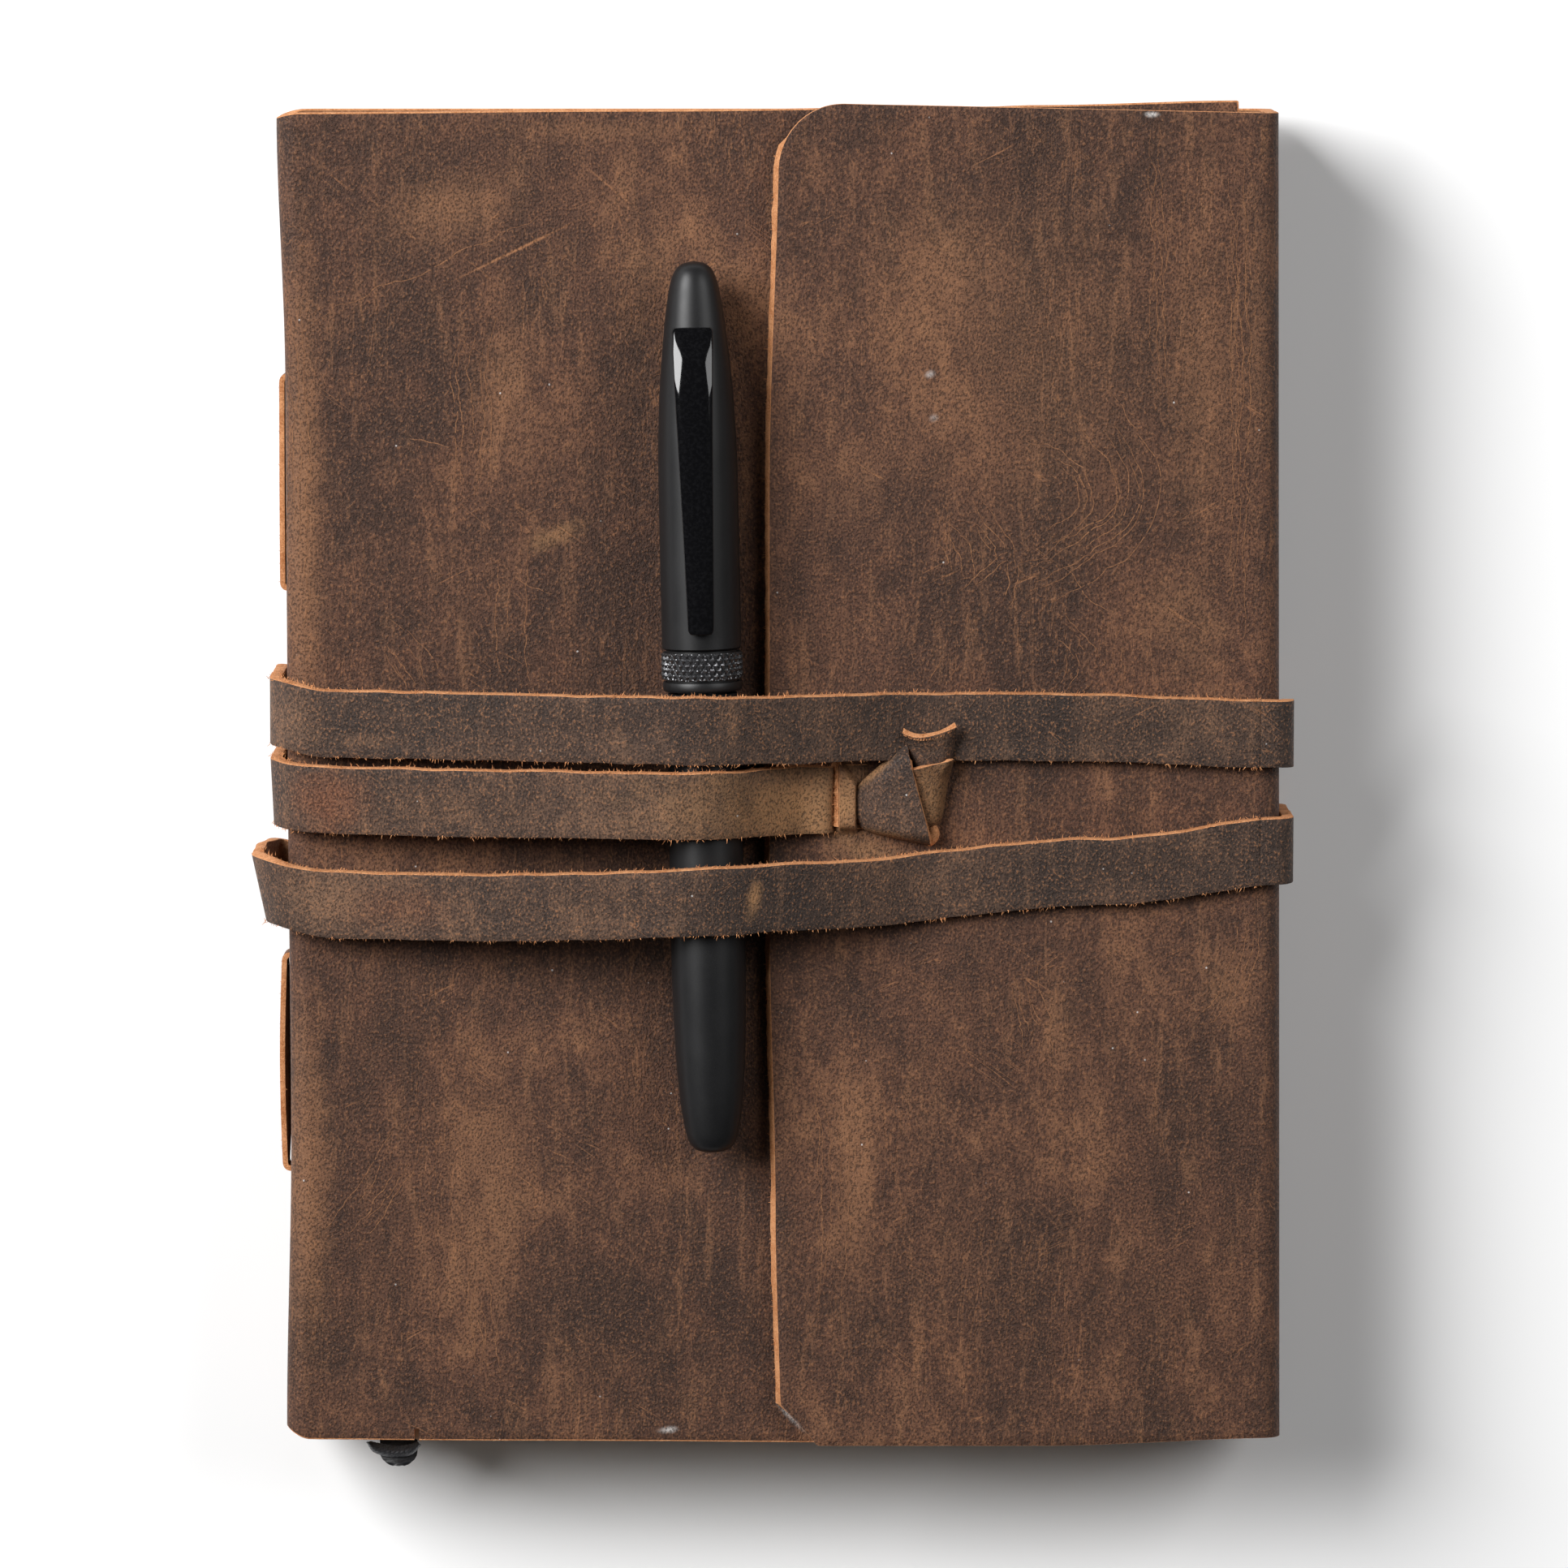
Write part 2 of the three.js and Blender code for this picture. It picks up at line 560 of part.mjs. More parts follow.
addMesh(cover, "back_panel", backPanel(), HIDE_BROWN);
addMesh(cover, "spine_panel", spinePanel(), HIDE_BROWN);
addMesh(cover, "front_panel", frontPanel(), HIDE_BROWN);
const foreEdge = foreEdgePanel();
addBox(cover, "fore_edge_panel", foreEdge.low, foreEdge.high, HIDE_BROWN);
addMesh(cover, "flap_panel", flapPanel(), HIDE_BROWN);
LACE_RUNS.forEach((run) => addMesh(cover, run.name, laceLoop(run), LACE_BROWN));
addRefill(cover);
addMesh(cover, "ribbon_marker", ribbonMarker(), RIBBON_BLACK);
addThong(cover);
addKnot(cover);
addPen(cover);

export default cover;
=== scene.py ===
"""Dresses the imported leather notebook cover: hide, thong, knot, laces, refill, ribbon and pen.

Every size here is in millimetres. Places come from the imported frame, whose metres are turned into
millimetres by box_mm(). A sheet of leather is a grid whose corners are placed on its grain face
and which is then given its thickness, so that grain, flesh and raw cut edge each take their finish.
"""

import logging
import math
from dataclasses import dataclass, field
from enum import Enum
from typing import Callable, Sequence

import bpy
import numpy as np
from mathutils import Matrix, Vector, noise


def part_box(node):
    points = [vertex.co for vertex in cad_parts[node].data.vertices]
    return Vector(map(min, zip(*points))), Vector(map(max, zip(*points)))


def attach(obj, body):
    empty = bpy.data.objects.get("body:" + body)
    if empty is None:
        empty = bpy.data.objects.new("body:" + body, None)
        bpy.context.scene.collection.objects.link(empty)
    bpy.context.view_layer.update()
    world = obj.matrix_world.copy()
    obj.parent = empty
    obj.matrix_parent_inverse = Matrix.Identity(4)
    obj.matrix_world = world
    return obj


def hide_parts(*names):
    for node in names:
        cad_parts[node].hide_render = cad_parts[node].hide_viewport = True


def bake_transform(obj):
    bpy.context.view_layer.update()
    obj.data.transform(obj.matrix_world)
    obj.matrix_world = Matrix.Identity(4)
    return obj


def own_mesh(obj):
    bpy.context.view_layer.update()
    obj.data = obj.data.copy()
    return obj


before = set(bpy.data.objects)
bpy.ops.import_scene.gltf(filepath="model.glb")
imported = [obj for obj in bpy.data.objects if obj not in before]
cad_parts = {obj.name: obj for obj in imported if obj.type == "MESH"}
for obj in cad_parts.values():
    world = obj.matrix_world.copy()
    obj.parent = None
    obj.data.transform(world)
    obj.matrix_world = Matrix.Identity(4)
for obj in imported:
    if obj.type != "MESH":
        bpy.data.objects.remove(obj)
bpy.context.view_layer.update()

LOG = logging.getLogger("notebook_cover")
MM = 0.001
REST = "rest_mm"  # each leather point's own place at rest, which its patterns follow

Point = tuple[float, float]
Colour = tuple[float, float, float]
Placer = Callable[[np.ndarray, np.ndarray], np.ndarray]


# ---- Small tools --------------------------------------------------------------------------


def box_mm(node: str) -> tuple[Vector, Vector]:
    """Gives a CAD node's lowest and highest corner in millimetres.

    Args:
        node: the CAD node's name.

    Returns:
        The two corners.
    """
    low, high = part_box(node)
    return low / MM, high / MM


def smooth(value: np.ndarray | float) -> np.ndarray:
    """Turns 0..1 into an eased 0..1, flat at both ends."""
    share = np.clip(value, 0, 1)
    return share * share * (3 - 2 * share)


def knots(values: Sequence[Point]) -> Callable[[np.ndarray], np.ndarray]:
    """Makes an eased function through given places.

    Args:
        values: pairs of place and value, in rising order of place.

    Returns:
        A function of the place.
    """
    places = np.array([p for p, _ in values], float)
    heights = np.array([h for _, h in values], float)

    def at(place: np.ndarray) -> np.ndarray:
        """Reads the value at each place."""
        place = np.clip(place, places[0], places[-1])
        index = np.clip(np.searchsorted(places, place, side="right") - 1, 0, len(places) - 2)
        share = (place - places[index]) / (places[index + 1] - places[index])
        return heights[index] + (heights[index + 1] - heights[index]) * smooth(share)

    return at


def curve_through(points: Sequence[Point], count: int) -> np.ndarray:
    """Runs a smooth curve through points.

    Args:
        points: the points, in order.
        count: how many places to give along it.

    Returns:
        count rows of the points' own dimension.
    """
    given = np.array(points, float)
    padded = np.vstack([2 * given[0] - given[1], given, 2 * given[-1] - given[-2]])
    places = np.linspace(0, len(given) - 1, count)
    index = np.clip(places.astype(int), 0, len(given) - 2)
    share = (places - index)[:, None]
    before, start, end, after = (padded[index + step] for step in range(4))
    return 0.5 * (
        2 * start
        + (end - before) * share
        + (2 * before - 5 * start + 4 * end - after) * share**2
        + (3 * start - before - 3 * end + after) * share**3
    )


def flowing(points: Sequence[Point]) -> Callable[[np.ndarray], np.ndarray]:
    """Makes a function that runs smoothly through given places.

    Args:
        points: pairs of place and value, in order of place.

    Returns:
        The function.
    """
    curve = curve_through(points, 160)
    return lambda place: np.interp(place, curve[:, 0], curve[:, 1])


def rounded_course(corners: Sequence[tuple[float, float, float]], step: float) -> np.ndarray:
    """Lays stations along straight stretches whose corners are rounded off.

    Args:
        corners: rows of x, z and how far back from the corner its bend starts.
        step: distance between stations on the straight stretches.

    Returns:
        Rows of x and z.
    """
    points = [np.array(corner[:2], float) for corner in corners]
    stations = [points[0]]
    for index in range(1, len(points)):
        target = points[index]
        reach = corners[index][2] if index < len(points) - 1 else 0
        toward = (target - points[index - 1]) / np.linalg.norm(target - points[index - 1])
        into = target - toward * reach
        length = np.linalg.norm(into - stations[-1])
        count = max(1, round(length / step))
        start = stations[-1]
        stations += [start + (into - start) * n / count for n in range(1, count + 1)]
        if reach:
            onward = points[index + 1] - target
            out = target + onward / np.linalg.norm(onward) * reach
            bend = max(6, round(reach * 4))
            for n in range(1, bend + 1):
                t = n / bend
                stations.append((1 - t) ** 2 * into + 2 * t * (1 - t) * target + t * t * out)
    return np.array(stations)


def waves(points: np.ndarray, size: float, seed: int) -> np.ndarray:
    """Reads a gentle unevenness at points in millimetres.

    Args:
        points: rows of x, y and z.
        size: about how far apart its swells are.
        seed: moves to another part of the same unevenness.

    Returns:
        A value from -1 to 1 for each point.
    """
    shift = Vector((17.3 * seed, 5.1 * seed, 9.7 * seed))
    return np.array([noise.noise(Vector(p) / size + shift) for p in points])


# ---- Mesh tools ---------------------------------------------------------------------------


def deselect() -> None:
    """Leaves nothing selected, so that an operator acts only on what it makes."""
    bpy.ops.object.select_all(action="DESELECT")


def take(obj: bpy.types.Object) -> bpy.types.Object:
    """Makes an object the only selected and active one."""
    deselect()
    obj.select_set(True)
    bpy.context.view_layer.objects.active = obj
    return obj


def named(name: str) -> bpy.types.Object:
    """Names the object that an operator has just made, and its mesh."""
    obj = bpy.context.active_object
    obj.name = obj.data.name = name
    return obj


def corners_of(obj: bpy.types.Object) -> np.ndarray:
    """Reads a mesh's vertices as rows, in millimetres."""
    flat = np.empty(len(obj.data.vertices) * 3)
    obj.data.vertices.foreach_get("co", flat)
    return flat.reshape(-1, 3) / MM


def set_corners(obj: bpy.types.Object, points: np.ndarray) -> None:
    """Moves a mesh's vertices to rows given in millimetres."""
    obj.data.vertices.foreach_set("co", (np.asarray(points) * MM).astype(np.float32).ravel())
    obj.data.update()


def grid_piece(name: str, columns: int, rows: int, place: Placer) -> bpy.types.Object:
    """Adds a grid and puts each of its corners where it belongs.

    Args:
        name: the piece's name.
        columns: faces along u.
        rows: faces along v.
        place: gives rows of x, y, z in millimetres for arrays of u and v from 0 to 1.

    Returns:
        The new object. Its faces look along u cross v.
    """
    deselect()
    bpy.ops.mesh.primitive_grid_add(x_subdivisions=columns, y_subdivisions=rows, size=1)
    obj = named(name)
    shares = corners_of(obj)[:, :2] * MM + 0.5
    set_corners(obj, place(np.clip(shares[:, 0], 0, 1), np.clip(shares[:, 1], 0, 1)))
    return obj


def apply_modifier(obj: bpy.types.Object, kind: str, **settings: object) -> None:
    """Adds one modifier and applies it.

    Args:
        obj: the piece.
        kind: the modifier's type.
        settings: its properties.
    """
    take(obj)
    modifier = obj.modifiers.new(kind.lower(), kind)
    for key, value in settings.items():
        setattr(modifier, key, value)
    bpy.ops.object.modifier_apply(modifier=modifier.name)


def soften(obj: bpy.types.Object, degrees: float = 40) -> None:
    """Shades a piece smooth except at edges sharper than an angle."""
    take(obj)
    bpy.ops.object.shade_smooth_by_angle(angle=math.radians(degrees))


def face_outwards(obj: bpy.types.Object) -> None:
    """Merges doubled corners of a closed piece and turns its faces outwards."""
    take(obj)
    bpy.ops.object.mode_set(mode="EDIT")
    bpy.ops.mesh.select_all(action="SELECT")
    bpy.ops.mesh.remove_doubles(threshold=1e-6)
    bpy.ops.mesh.normals_make_consistent(inside=False)
    bpy.ops.object.mode_set(mode="OBJECT")


def close_loop(obj: bpy.types.Object) -> None:
    """Merges the two ends of a loop of grid, keeping the way that its faces look."""
    take(obj)
    bpy.ops.object.mode_set(mode="EDIT")
    bpy.ops.mesh.select_all(action="SELECT")
    bpy.ops.mesh.remove_doubles(threshold=1e-6)
    bpy.ops.object.mode_set(mode="OBJECT")


def box_piece(name: str, low: Sequence[float], high: Sequence[float]) -> bpy.types.Object:
    """Adds a box between two corners in millimetres.

    Args:
        name: the piece's name.
        low: lowest corner.
        high: highest corner.

    Returns:
        The new object, at the origin, with its place in its mesh.
    """
    deselect()
    bpy.ops.mesh.primitive_cube_add(size=1)
    obj = named(name)
    low, high = np.array(low, float), np.array(high, float)
    set_corners(obj, (corners_of(obj) * MM + 0.5) * (high - low) + low)
    return obj


def cut_out(obj: bpy.types.Object, cutters: Sequence[bpy.types.Object]) -> None:
    """Cuts closed shapes out of a piece; the cut takes the cutter's material.

    Args:
        obj: the piece.
        cutters: closed shapes, which are removed afterwards.
    """
    for cutter in cutters:
        apply_modifier(
            obj, "BOOLEAN", operation="DIFFERENCE", object=cutter, solver="EXACT",
            material_mode="TRANSFER",
        )
        bpy.data.objects.remove(cutter)


def turned(name: str, profile: Sequence[Point], axis: Matrix, sides: int = 72) -> bpy.types.Object:
    """Turns a profile about a line, as on a lathe.

    Args:
        name: the piece's name.
        profile: rows of radius and distance along the line; it is closed by its own ends.
        axis: puts the line, which is +Y, in its place, in metres.
        sides: how many sides the turned piece has.

    Returns:
        The new object.
    """
    deselect()
    bpy.ops.mesh.primitive_circle_add(vertices=len(profile), radius=1)
    obj = named(name)
    points = np.array([[radius, along, 0] for radius, along in profile])
    set_corners(obj, points)
    take(obj)
    bpy.ops.object.mode_set(mode="EDIT")
    bpy.ops.mesh.select_all(action="SELECT")
    bpy.ops.mesh.spin(steps=sides, angle=2 * math.pi, center=(0, 0, 0), axis=(0, 1, 0))
    bpy.ops.object.mode_set(mode="OBJECT")
    face_outwards(obj)
    obj.data.transform(axis)
    return obj


def copies(
    name: str, model: bpy.types.Object, places: np.ndarray, turns: np.ndarray, sizes: np.ndarray
) -> bpy.types.Object:
    """Makes one mesh of many copies of a small model, which is removed afterwards.

    Args:
        name: the new piece's name.
        model: the small mesh, about its own origin.
        places: one row of x, y, z for each copy, in millimetres.
        turns: one 3 by 3 matrix for each copy.
        sizes: one row of x, y, z scales for each copy.

    Returns:
        The new object.
    """
    base = corners_of(model)
    faces = [tuple(face.vertices) for face in model.data.polygons]
    points = np.einsum("nij,nkj->nki", turns, base[None] * sizes[:, None]) + places[:, None]
    made = [
        tuple(index + n * len(base) for index in face) for n in range(len(places)) for face in faces
    ]
    mesh = bpy.data.meshes.new(name)
    mesh.from_pydata((points.reshape(-1, 3) * MM).tolist(), [], made)
    mesh.update()
    obj = bpy.data.objects.new(name, mesh)
    bpy.context.scene.collection.objects.link(obj)
    bpy.data.objects.remove(model)
    return obj


def remember_rest(obj: bpy.types.Object) -> None:
    """Stores each corner's place, so that a pattern stays on the leather when it bends."""
    store = obj.data.attributes.new(REST, "FLOAT_VECTOR", "POINT")
    store.data.foreach_set("vector", corners_of(obj).astype(np.float32).ravel())


def remember_again(obj: bpy.types.Object) -> None:
    """Renews the stored rest places of a piece that was moved since."""
    obj.data.attributes.remove(obj.data.attributes[REST])
    remember_rest(obj)


def standing_for(obj: bpy.types.Object, node: str) -> bpy.types.Object:
    """Hides the CAD node that a piece stands for, and gives the piece back."""
    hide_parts(node)
    return obj


# ---- Shader tools -------------------------------------------------------------------------


class Graph:
    """Adds nodes to a node tree by short calls."""

    def __init__(self, tree: bpy.types.NodeTree) -> None:
        """Keeps the tree that nodes are added to."""
        self.tree = tree

    def add(self, kind: str, inputs: dict | None = None, **settings: object) -> bpy.types.Node:
        """Adds one node.

        Args:
            kind: the node's type.
            inputs: values or sockets for its inputs, by name or index.
            settings: its properties.

        Returns:
            The node.
        """
        node = self.tree.nodes.new(kind)
        for key, value in settings.items():
            setattr(node, key, value)
        for key, value in (inputs or {}).items():
            if isinstance(value, bpy.types.NodeSocket):
                self.tree.links.new(value, node.inputs[key])
            else:
                node.inputs[key].default_value = value
        return node

    def math(self, operation: str, first: object, second: object = 0.0) -> bpy.types.NodeSocket:
        """Combines two values."""
        node = self.add("ShaderNodeMath", {0: first, 1: second}, operation=operation)
        return node.outputs[0]

    def moved(
        self, vector: object, scale: Sequence[float], turn: float = 0, shift: Sequence[float] = (0, 0, 0)
    ) -> bpy.types.NodeSocket:
        """Turns a pattern's coordinates about Z and stretches them."""
        turned_by = self.add(
            "ShaderNodeMapping", {"Vector": vector, "Rotation": (0, 0, turn), "Location": shift}
        )
        return self.add("ShaderNodeVectorMath", {0: turned_by.outputs[0], 1: scale},
                        operation="MULTIPLY").outputs[0]

    def noise(self, vector: object, size: float, detail: float = 3, rough: float = 0.5,
              warp: float = 0) -> bpy.types.NodeSocket:
        """Reads noise whose swells are about size millimetres apart."""
        node = self.add("ShaderNodeTexNoise", {
            "Vector": vector, "Scale": 1 / size, "Detail": detail, "Roughness": rough,
            "Distortion": warp})
        return node.outputs["Fac"]

    def ramp(self, value: object, low: float, high: float, start: float = 0,
             end: float = 1) -> bpy.types.NodeSocket:
        """Eases a value between two limits."""
        node = self.add("ShaderNodeMapRange", {
            "Value": value, "From Min": low, "From Max": high, "To Min": start, "To Max": end},
            interpolation_type="SMOOTHSTEP")
        return node.outputs[0]

    def mix(self, share: object, first: object, second: object,
            blend: str = "MIX") -> bpy.types.NodeSocket:
        """Mixes two colours."""
        node = self.add("ShaderNodeMix", {0: share, 6: rgba(first), 7: rgba(second)},
                        data_type="RGBA", blend_type=blend)
        return node.outputs[2]


def rgba(colour: object) -> object:
    """Adds an alpha of 1 to a plain colour and leaves a socket alone."""
    return colour if isinstance(colour, bpy.types.NodeSocket) else (*colour, 1.0)


def node_group(name: str, inputs: dict[str, str], outputs: Sequence[str],
               build: Callable[[Graph, bpy.types.Node, bpy.types.Node], None]) -> bpy.types.NodeTree:
    """Builds a shared node group once.

    Args:
        name: the group's name.
        inputs: socket types by input name.
        outputs: names of the values that it puts out.
        build: fills it, given its graph, its input node and its output node.

    Returns:
        The group.
    """
    made = bpy.data.node_groups.get(name)
    if made:
        return made
    made = bpy.data.node_groups.new(name, "ShaderNodeTree")
    for socket, kind in inputs.items():
        made.interface.new_socket(name=socket, in_out="INPUT", socket_type=kind)
    for socket in outputs:
        made.interface.new_socket(name=socket, in_out="OUTPUT", socket_type="NodeSocketFloat")
    entry = made.nodes.new("NodeGroupInput")
    leave = made.nodes.new("NodeGroupOutput")
    build(Graph(made), entry, leave)
    return made


def contour(graph: Graph, value: bpy.types.NodeSocket, width: float) -> bpy.types.NodeSocket:
    """Draws the thin line along which a noise value is a half."""
    away = graph.math("ABSOLUTE", graph.math("SUBTRACT", value, 0.5))
    return graph.ramp(away, width, 0)


def waxed_grain_group() -> bpy.types.NodeTree:
    """Builds the pattern that all the waxed leather shares.

    Returns:
        A group with Mottle, Streaks, Pores, Specks, Scratches, Wrinkles, Lint and Height.
    """

    def build(graph: Graph, entry: bpy.types.Node, leave: bpy.types.Node) -> None:
        """Fills the group."""
        place = entry.outputs["Vector"]
        broad = graph.noise(graph.moved(place, (1, 0.7, 1)), 30, 4, 0.58, 0.3)
        fine = graph.noise(graph.moved(place, (1, 0.55, 1)), 3.4, 6, 0.70)
        mottle = graph.math("ADD", graph.math("MULTIPLY", broad, 0.60), graph.math("MULTIPLY", fine, 0.40))
        pulled = graph.moved(place, (1, 0.16, 1))
        streaks = graph.noise(pulled, 2.1, 5, 0.65, 0.6)
        grit = graph.noise(graph.moved(place, (1, 0.75, 1)), 0.33, 2, 0.62)
        pores = graph.ramp(grit, 0.50, 0.33)
        specks = graph.ramp(grit, 0.54, 0.69)
        slant = graph.noise(graph.moved(place, (0.05, 0.9, 1), 0.62), 2.6, 2, 0.5)
        fall = graph.noise(graph.moved(place, (0.06, 1.0, 1), -0.45), 2.3, 2, 0.5)
        where = graph.ramp(graph.noise(place, 11, 2, 0.5), 0.58, 0.70)
        elsewhere = graph.ramp(graph.noise(place, 9, 2, 0.5), 0.42, 0.30)
        scratches = graph.math(
            "MAXIMUM", graph.math("MULTIPLY", where, contour(graph, slant, 0.007)),
            graph.math("MULTIPLY", elsewhere, contour(graph, fall, 0.006)))
        upright = graph.noise(graph.moved(place, (1.0, 0.13, 1), 0.04), 1.9, 3, 0.6, 0.6)
        slow = graph.noise(graph.moved(place, (1.0, 0.4, 1)), 12, 3, 0.6)
        wrinkles = graph.math("MULTIPLY", graph.ramp(slow, 0.48, 0.66), contour(graph, upright, 0.026))
        lint = graph.add("ShaderNodeTexVoronoi", {"Vector": place, "Scale": 0.17, "Randomness": 1.0})
        fluff = graph.ramp(lint.outputs["Distance"], 0.034, 0.014)
        height = graph.math("MULTIPLY", specks, 0.25)
        layers = ((0.35, fine), (0.25, streaks), (-0.60, pores), (0.20, broad), (-0.18, wrinkles))
        for share, source in layers:
            height = graph.math("ADD", height, graph.math("MULTIPLY", source, share))
        for name, socket in (("Mottle", mottle), ("Streaks", streaks), ("Pores", pores),
                             ("Specks", specks), ("Scratches", scratches), ("Wrinkles", wrinkles),
                             ("Lint", fluff), ("Height", height)):
            graph.tree.links.new(socket, leave.inputs[name])

    outputs = ("Mottle", "Streaks", "Pores", "Specks", "Scratches", "Wrinkles", "Lint", "Height")
    return node_group("waxed_grain", {"Vector": "NodeSocketVector"}, outputs, build)


def patch_group() -> bpy.types.NodeTree:
    """Builds a soft oval patch whose rim is broken up.

    Returns:
        A group with Mask, from a centre, a turn about Z and a size.
    """

    def build(graph: Graph, entry: bpy.types.Node, leave: bpy.types.Node) -> None:
        """Fills the group."""
        moved = graph.add("ShaderNodeVectorMath", {
            0: entry.outputs["Vector"], 1: entry.outputs["Centre"]}, operation="SUBTRACT")
        turned_by = graph.add("ShaderNodeVectorRotate", {
            "Vector": moved.outputs[0], "Angle": entry.outputs["Turn"]}, rotation_type="Z_AXIS")
        scaled = graph.add("ShaderNodeVectorMath", {
            0: turned_by.outputs[0], 1: entry.outputs["Size"]}, operation="DIVIDE")
        away = graph.add("ShaderNodeVectorMath", {0: scaled.outputs[0]}, operation="LENGTH")
        ragged = graph.math("MULTIPLY", graph.noise(entry.outputs["Vector"], 3.2, 5, 0.65), 0.9)
        mask = graph.ramp(graph.math("ADD", away.outputs["Value"], ragged), 1.35, 0.35)
        graph.tree.links.new(mask, leave.inputs["Mask"])

    inputs = {"Vector": "NodeSocketVector", "Centre": "NodeSocketVector",
              "Size": "NodeSocketVector", "Turn": "NodeSocketFloat"}
    return node_group("wear_and_light_patch", inputs, ("Mask",), build)


class WearAndLight(Enum):
    """What a patch does to the leather: most patches are wear, some are painted light and shade."""

    RUBBED = "light"
    GOLDEN = "golden"
    DARK = "dark"
    REDDISH = "reddish"
    SCRATCH = "scratch"
    CHALKY = "chalky"


@dataclass(frozen=True)
class Patch:
    """One patch of wear, painted light or painted shade: what it is, its centre, half sizes, turn and
    strength.
    """

    kind: WearAndLight
    centre: Point
    size: Point
    turn: float = 0.0
    strength: float = 1.0


def new_material(name: str) -> tuple[bpy.types.Material, Graph, bpy.types.Node]:
    """Starts a material.

    Args:
        name: its name.

    Returns:
        The material, its graph and its Principled BSDF.
    """
    material = bpy.data.materials.new(name)
    material.use_nodes = True
    graph = Graph(material.node_tree)
    shader = next(n for n in graph.tree.nodes if n.type == "BSDF_PRINCIPLED")
    return material, graph, shader


def bump(graph: Graph, shader: bpy.types.Node, height: bpy.types.NodeSocket, depth: float,
         strength: float = 1.0) -> None:
    """Gives a shader its relief.

    Args:
        graph: the material's graph.
        shader: its Principled BSDF.
        height: the relief, from 0 to 1.
        depth: how deep that is, in millimetres.
        strength: how much of it is used.
    """
    node = graph.add("ShaderNodeBump", {"Height": height, "Distance": depth * MM, "Strength": strength})
    graph.tree.links.new(node.outputs[0], shader.inputs["Normal"])


@dataclass(frozen=True)
class LeatherGrain:
    """The waxed, pulled-up and handled grain face of the leather, with its worn patches and some painted
    light and shade.
    """

    name: str
    dark: Colour
    middle: Colour
    light: Colour
    patches: tuple[Patch, ...] = ()
    tan: Colour = (0.38, 0.17, 0.075)
    golden: Colour = (0.36, 0.19, 0.085)
    reddish: Colour = (0.17, 0.066, 0.034)
    # Darkest tone, mixed into the pores and into the DARK patches, some of which are painted shade.
    pore_and_shade_dark: Colour = (0.030, 0.019, 0.015)
    chalk: Colour = (0.55, 0.52, 0.50)
    relief: float = 0.16
    wrinkled: float = 0.26
    speckled: float = 0.30

    def colour_of(self, kind: WearAndLight) -> Colour:
        """Gives the colour that a kind of wear, painted light or painted shade mixes in."""
        return {
            WearAndLight.RUBBED: self.light, WearAndLight.GOLDEN: self.golden, WearAndLight.DARK: self.pore_and_shade_dark,
            WearAndLight.REDDISH: self.reddish, WearAndLight.SCRATCH: self.tan, WearAndLight.CHALKY: self.chalk,
        }[kind]

    def material(self) -> bpy.types.Material:
        """Builds the material.

        Returns:
            The material.
        """
        material, graph, shader = new_material(self.name)
        place = graph.add("ShaderNodeAttribute", attribute_name=REST).outputs["Vector"]
        grain = graph.add("ShaderNodeGroup", node_tree=waxed_grain_group())
        graph.tree.links.new(place, grain.inputs["Vector"])
        out = grain.outputs
        colour = graph.mix(graph.ramp(out["Mottle"], 0.38, 0.60), self.dark, self.middle)
        colour = graph.mix(graph.ramp(out["Mottle"], 0.52, 0.70, 0, 0.85), colour, self.light)
        colour = graph.mix(graph.ramp(out["Streaks"], 0.50, 0.72, 0, 0.45), colour, self.light)
        for patch in self.patches:
            colour = graph.mix(self.patch_mask(graph, place, patch), colour, self.colour_of(patch.kind))
        colour = graph.mix(graph.math("MULTIPLY", out["Wrinkles"], self.wrinkled), colour, self.tan)
        colour = graph.mix(graph.math("MULTIPLY", out["Pores"], 0.62), colour, self.pore_and_shade_dark)
        colour = graph.mix(graph.math("MULTIPLY", out["Specks"], self.speckled), colour, self.tan)
        colour = graph.mix(graph.math("MULTIPLY", out["Scratches"], 0.45), colour, self.tan)
        colour = graph.mix(graph.math("MULTIPLY", out["Lint"], 0.8), colour, self.chalk)
        graph.tree.links.new(colour, shader.inputs["Base Color"])
        rough = graph.math("ADD", graph.ramp(out["Mottle"], 0.3, 0.7, 0.52, 0.68),
                           graph.math("MULTIPLY", out["Pores"], 0.12))
        graph.tree.links.new(rough, shader.inputs["Roughness"])
        shader.inputs["Specular IOR Level"].default_value = 0.22
        bump(graph, shader, out["Height"], self.relief)
        return material

    def patch_mask(self, graph: Graph, place: bpy.types.NodeSocket,
                   patch: Patch) -> bpy.types.NodeSocket:
        """Builds one patch's mask.

        Args:
            graph: the material's graph.
            place: the leather's own coordinates.
            patch: the patch.

        Returns:
            A value from 0 to the patch's strength.
        """
        node = graph.add("ShaderNodeGroup", node_tree=patch_group())
        graph.tree.links.new(place, node.inputs["Vector"])
        node.inputs["Centre"].default_value = (*patch.centre, 0)
        node.inputs["Size"].default_value = (*patch.size, 1e6)
        node.inputs["Turn"].default_value = -patch.turn
        return graph.math("MULTIPLY", node.outputs["Mask"], patch.strength)


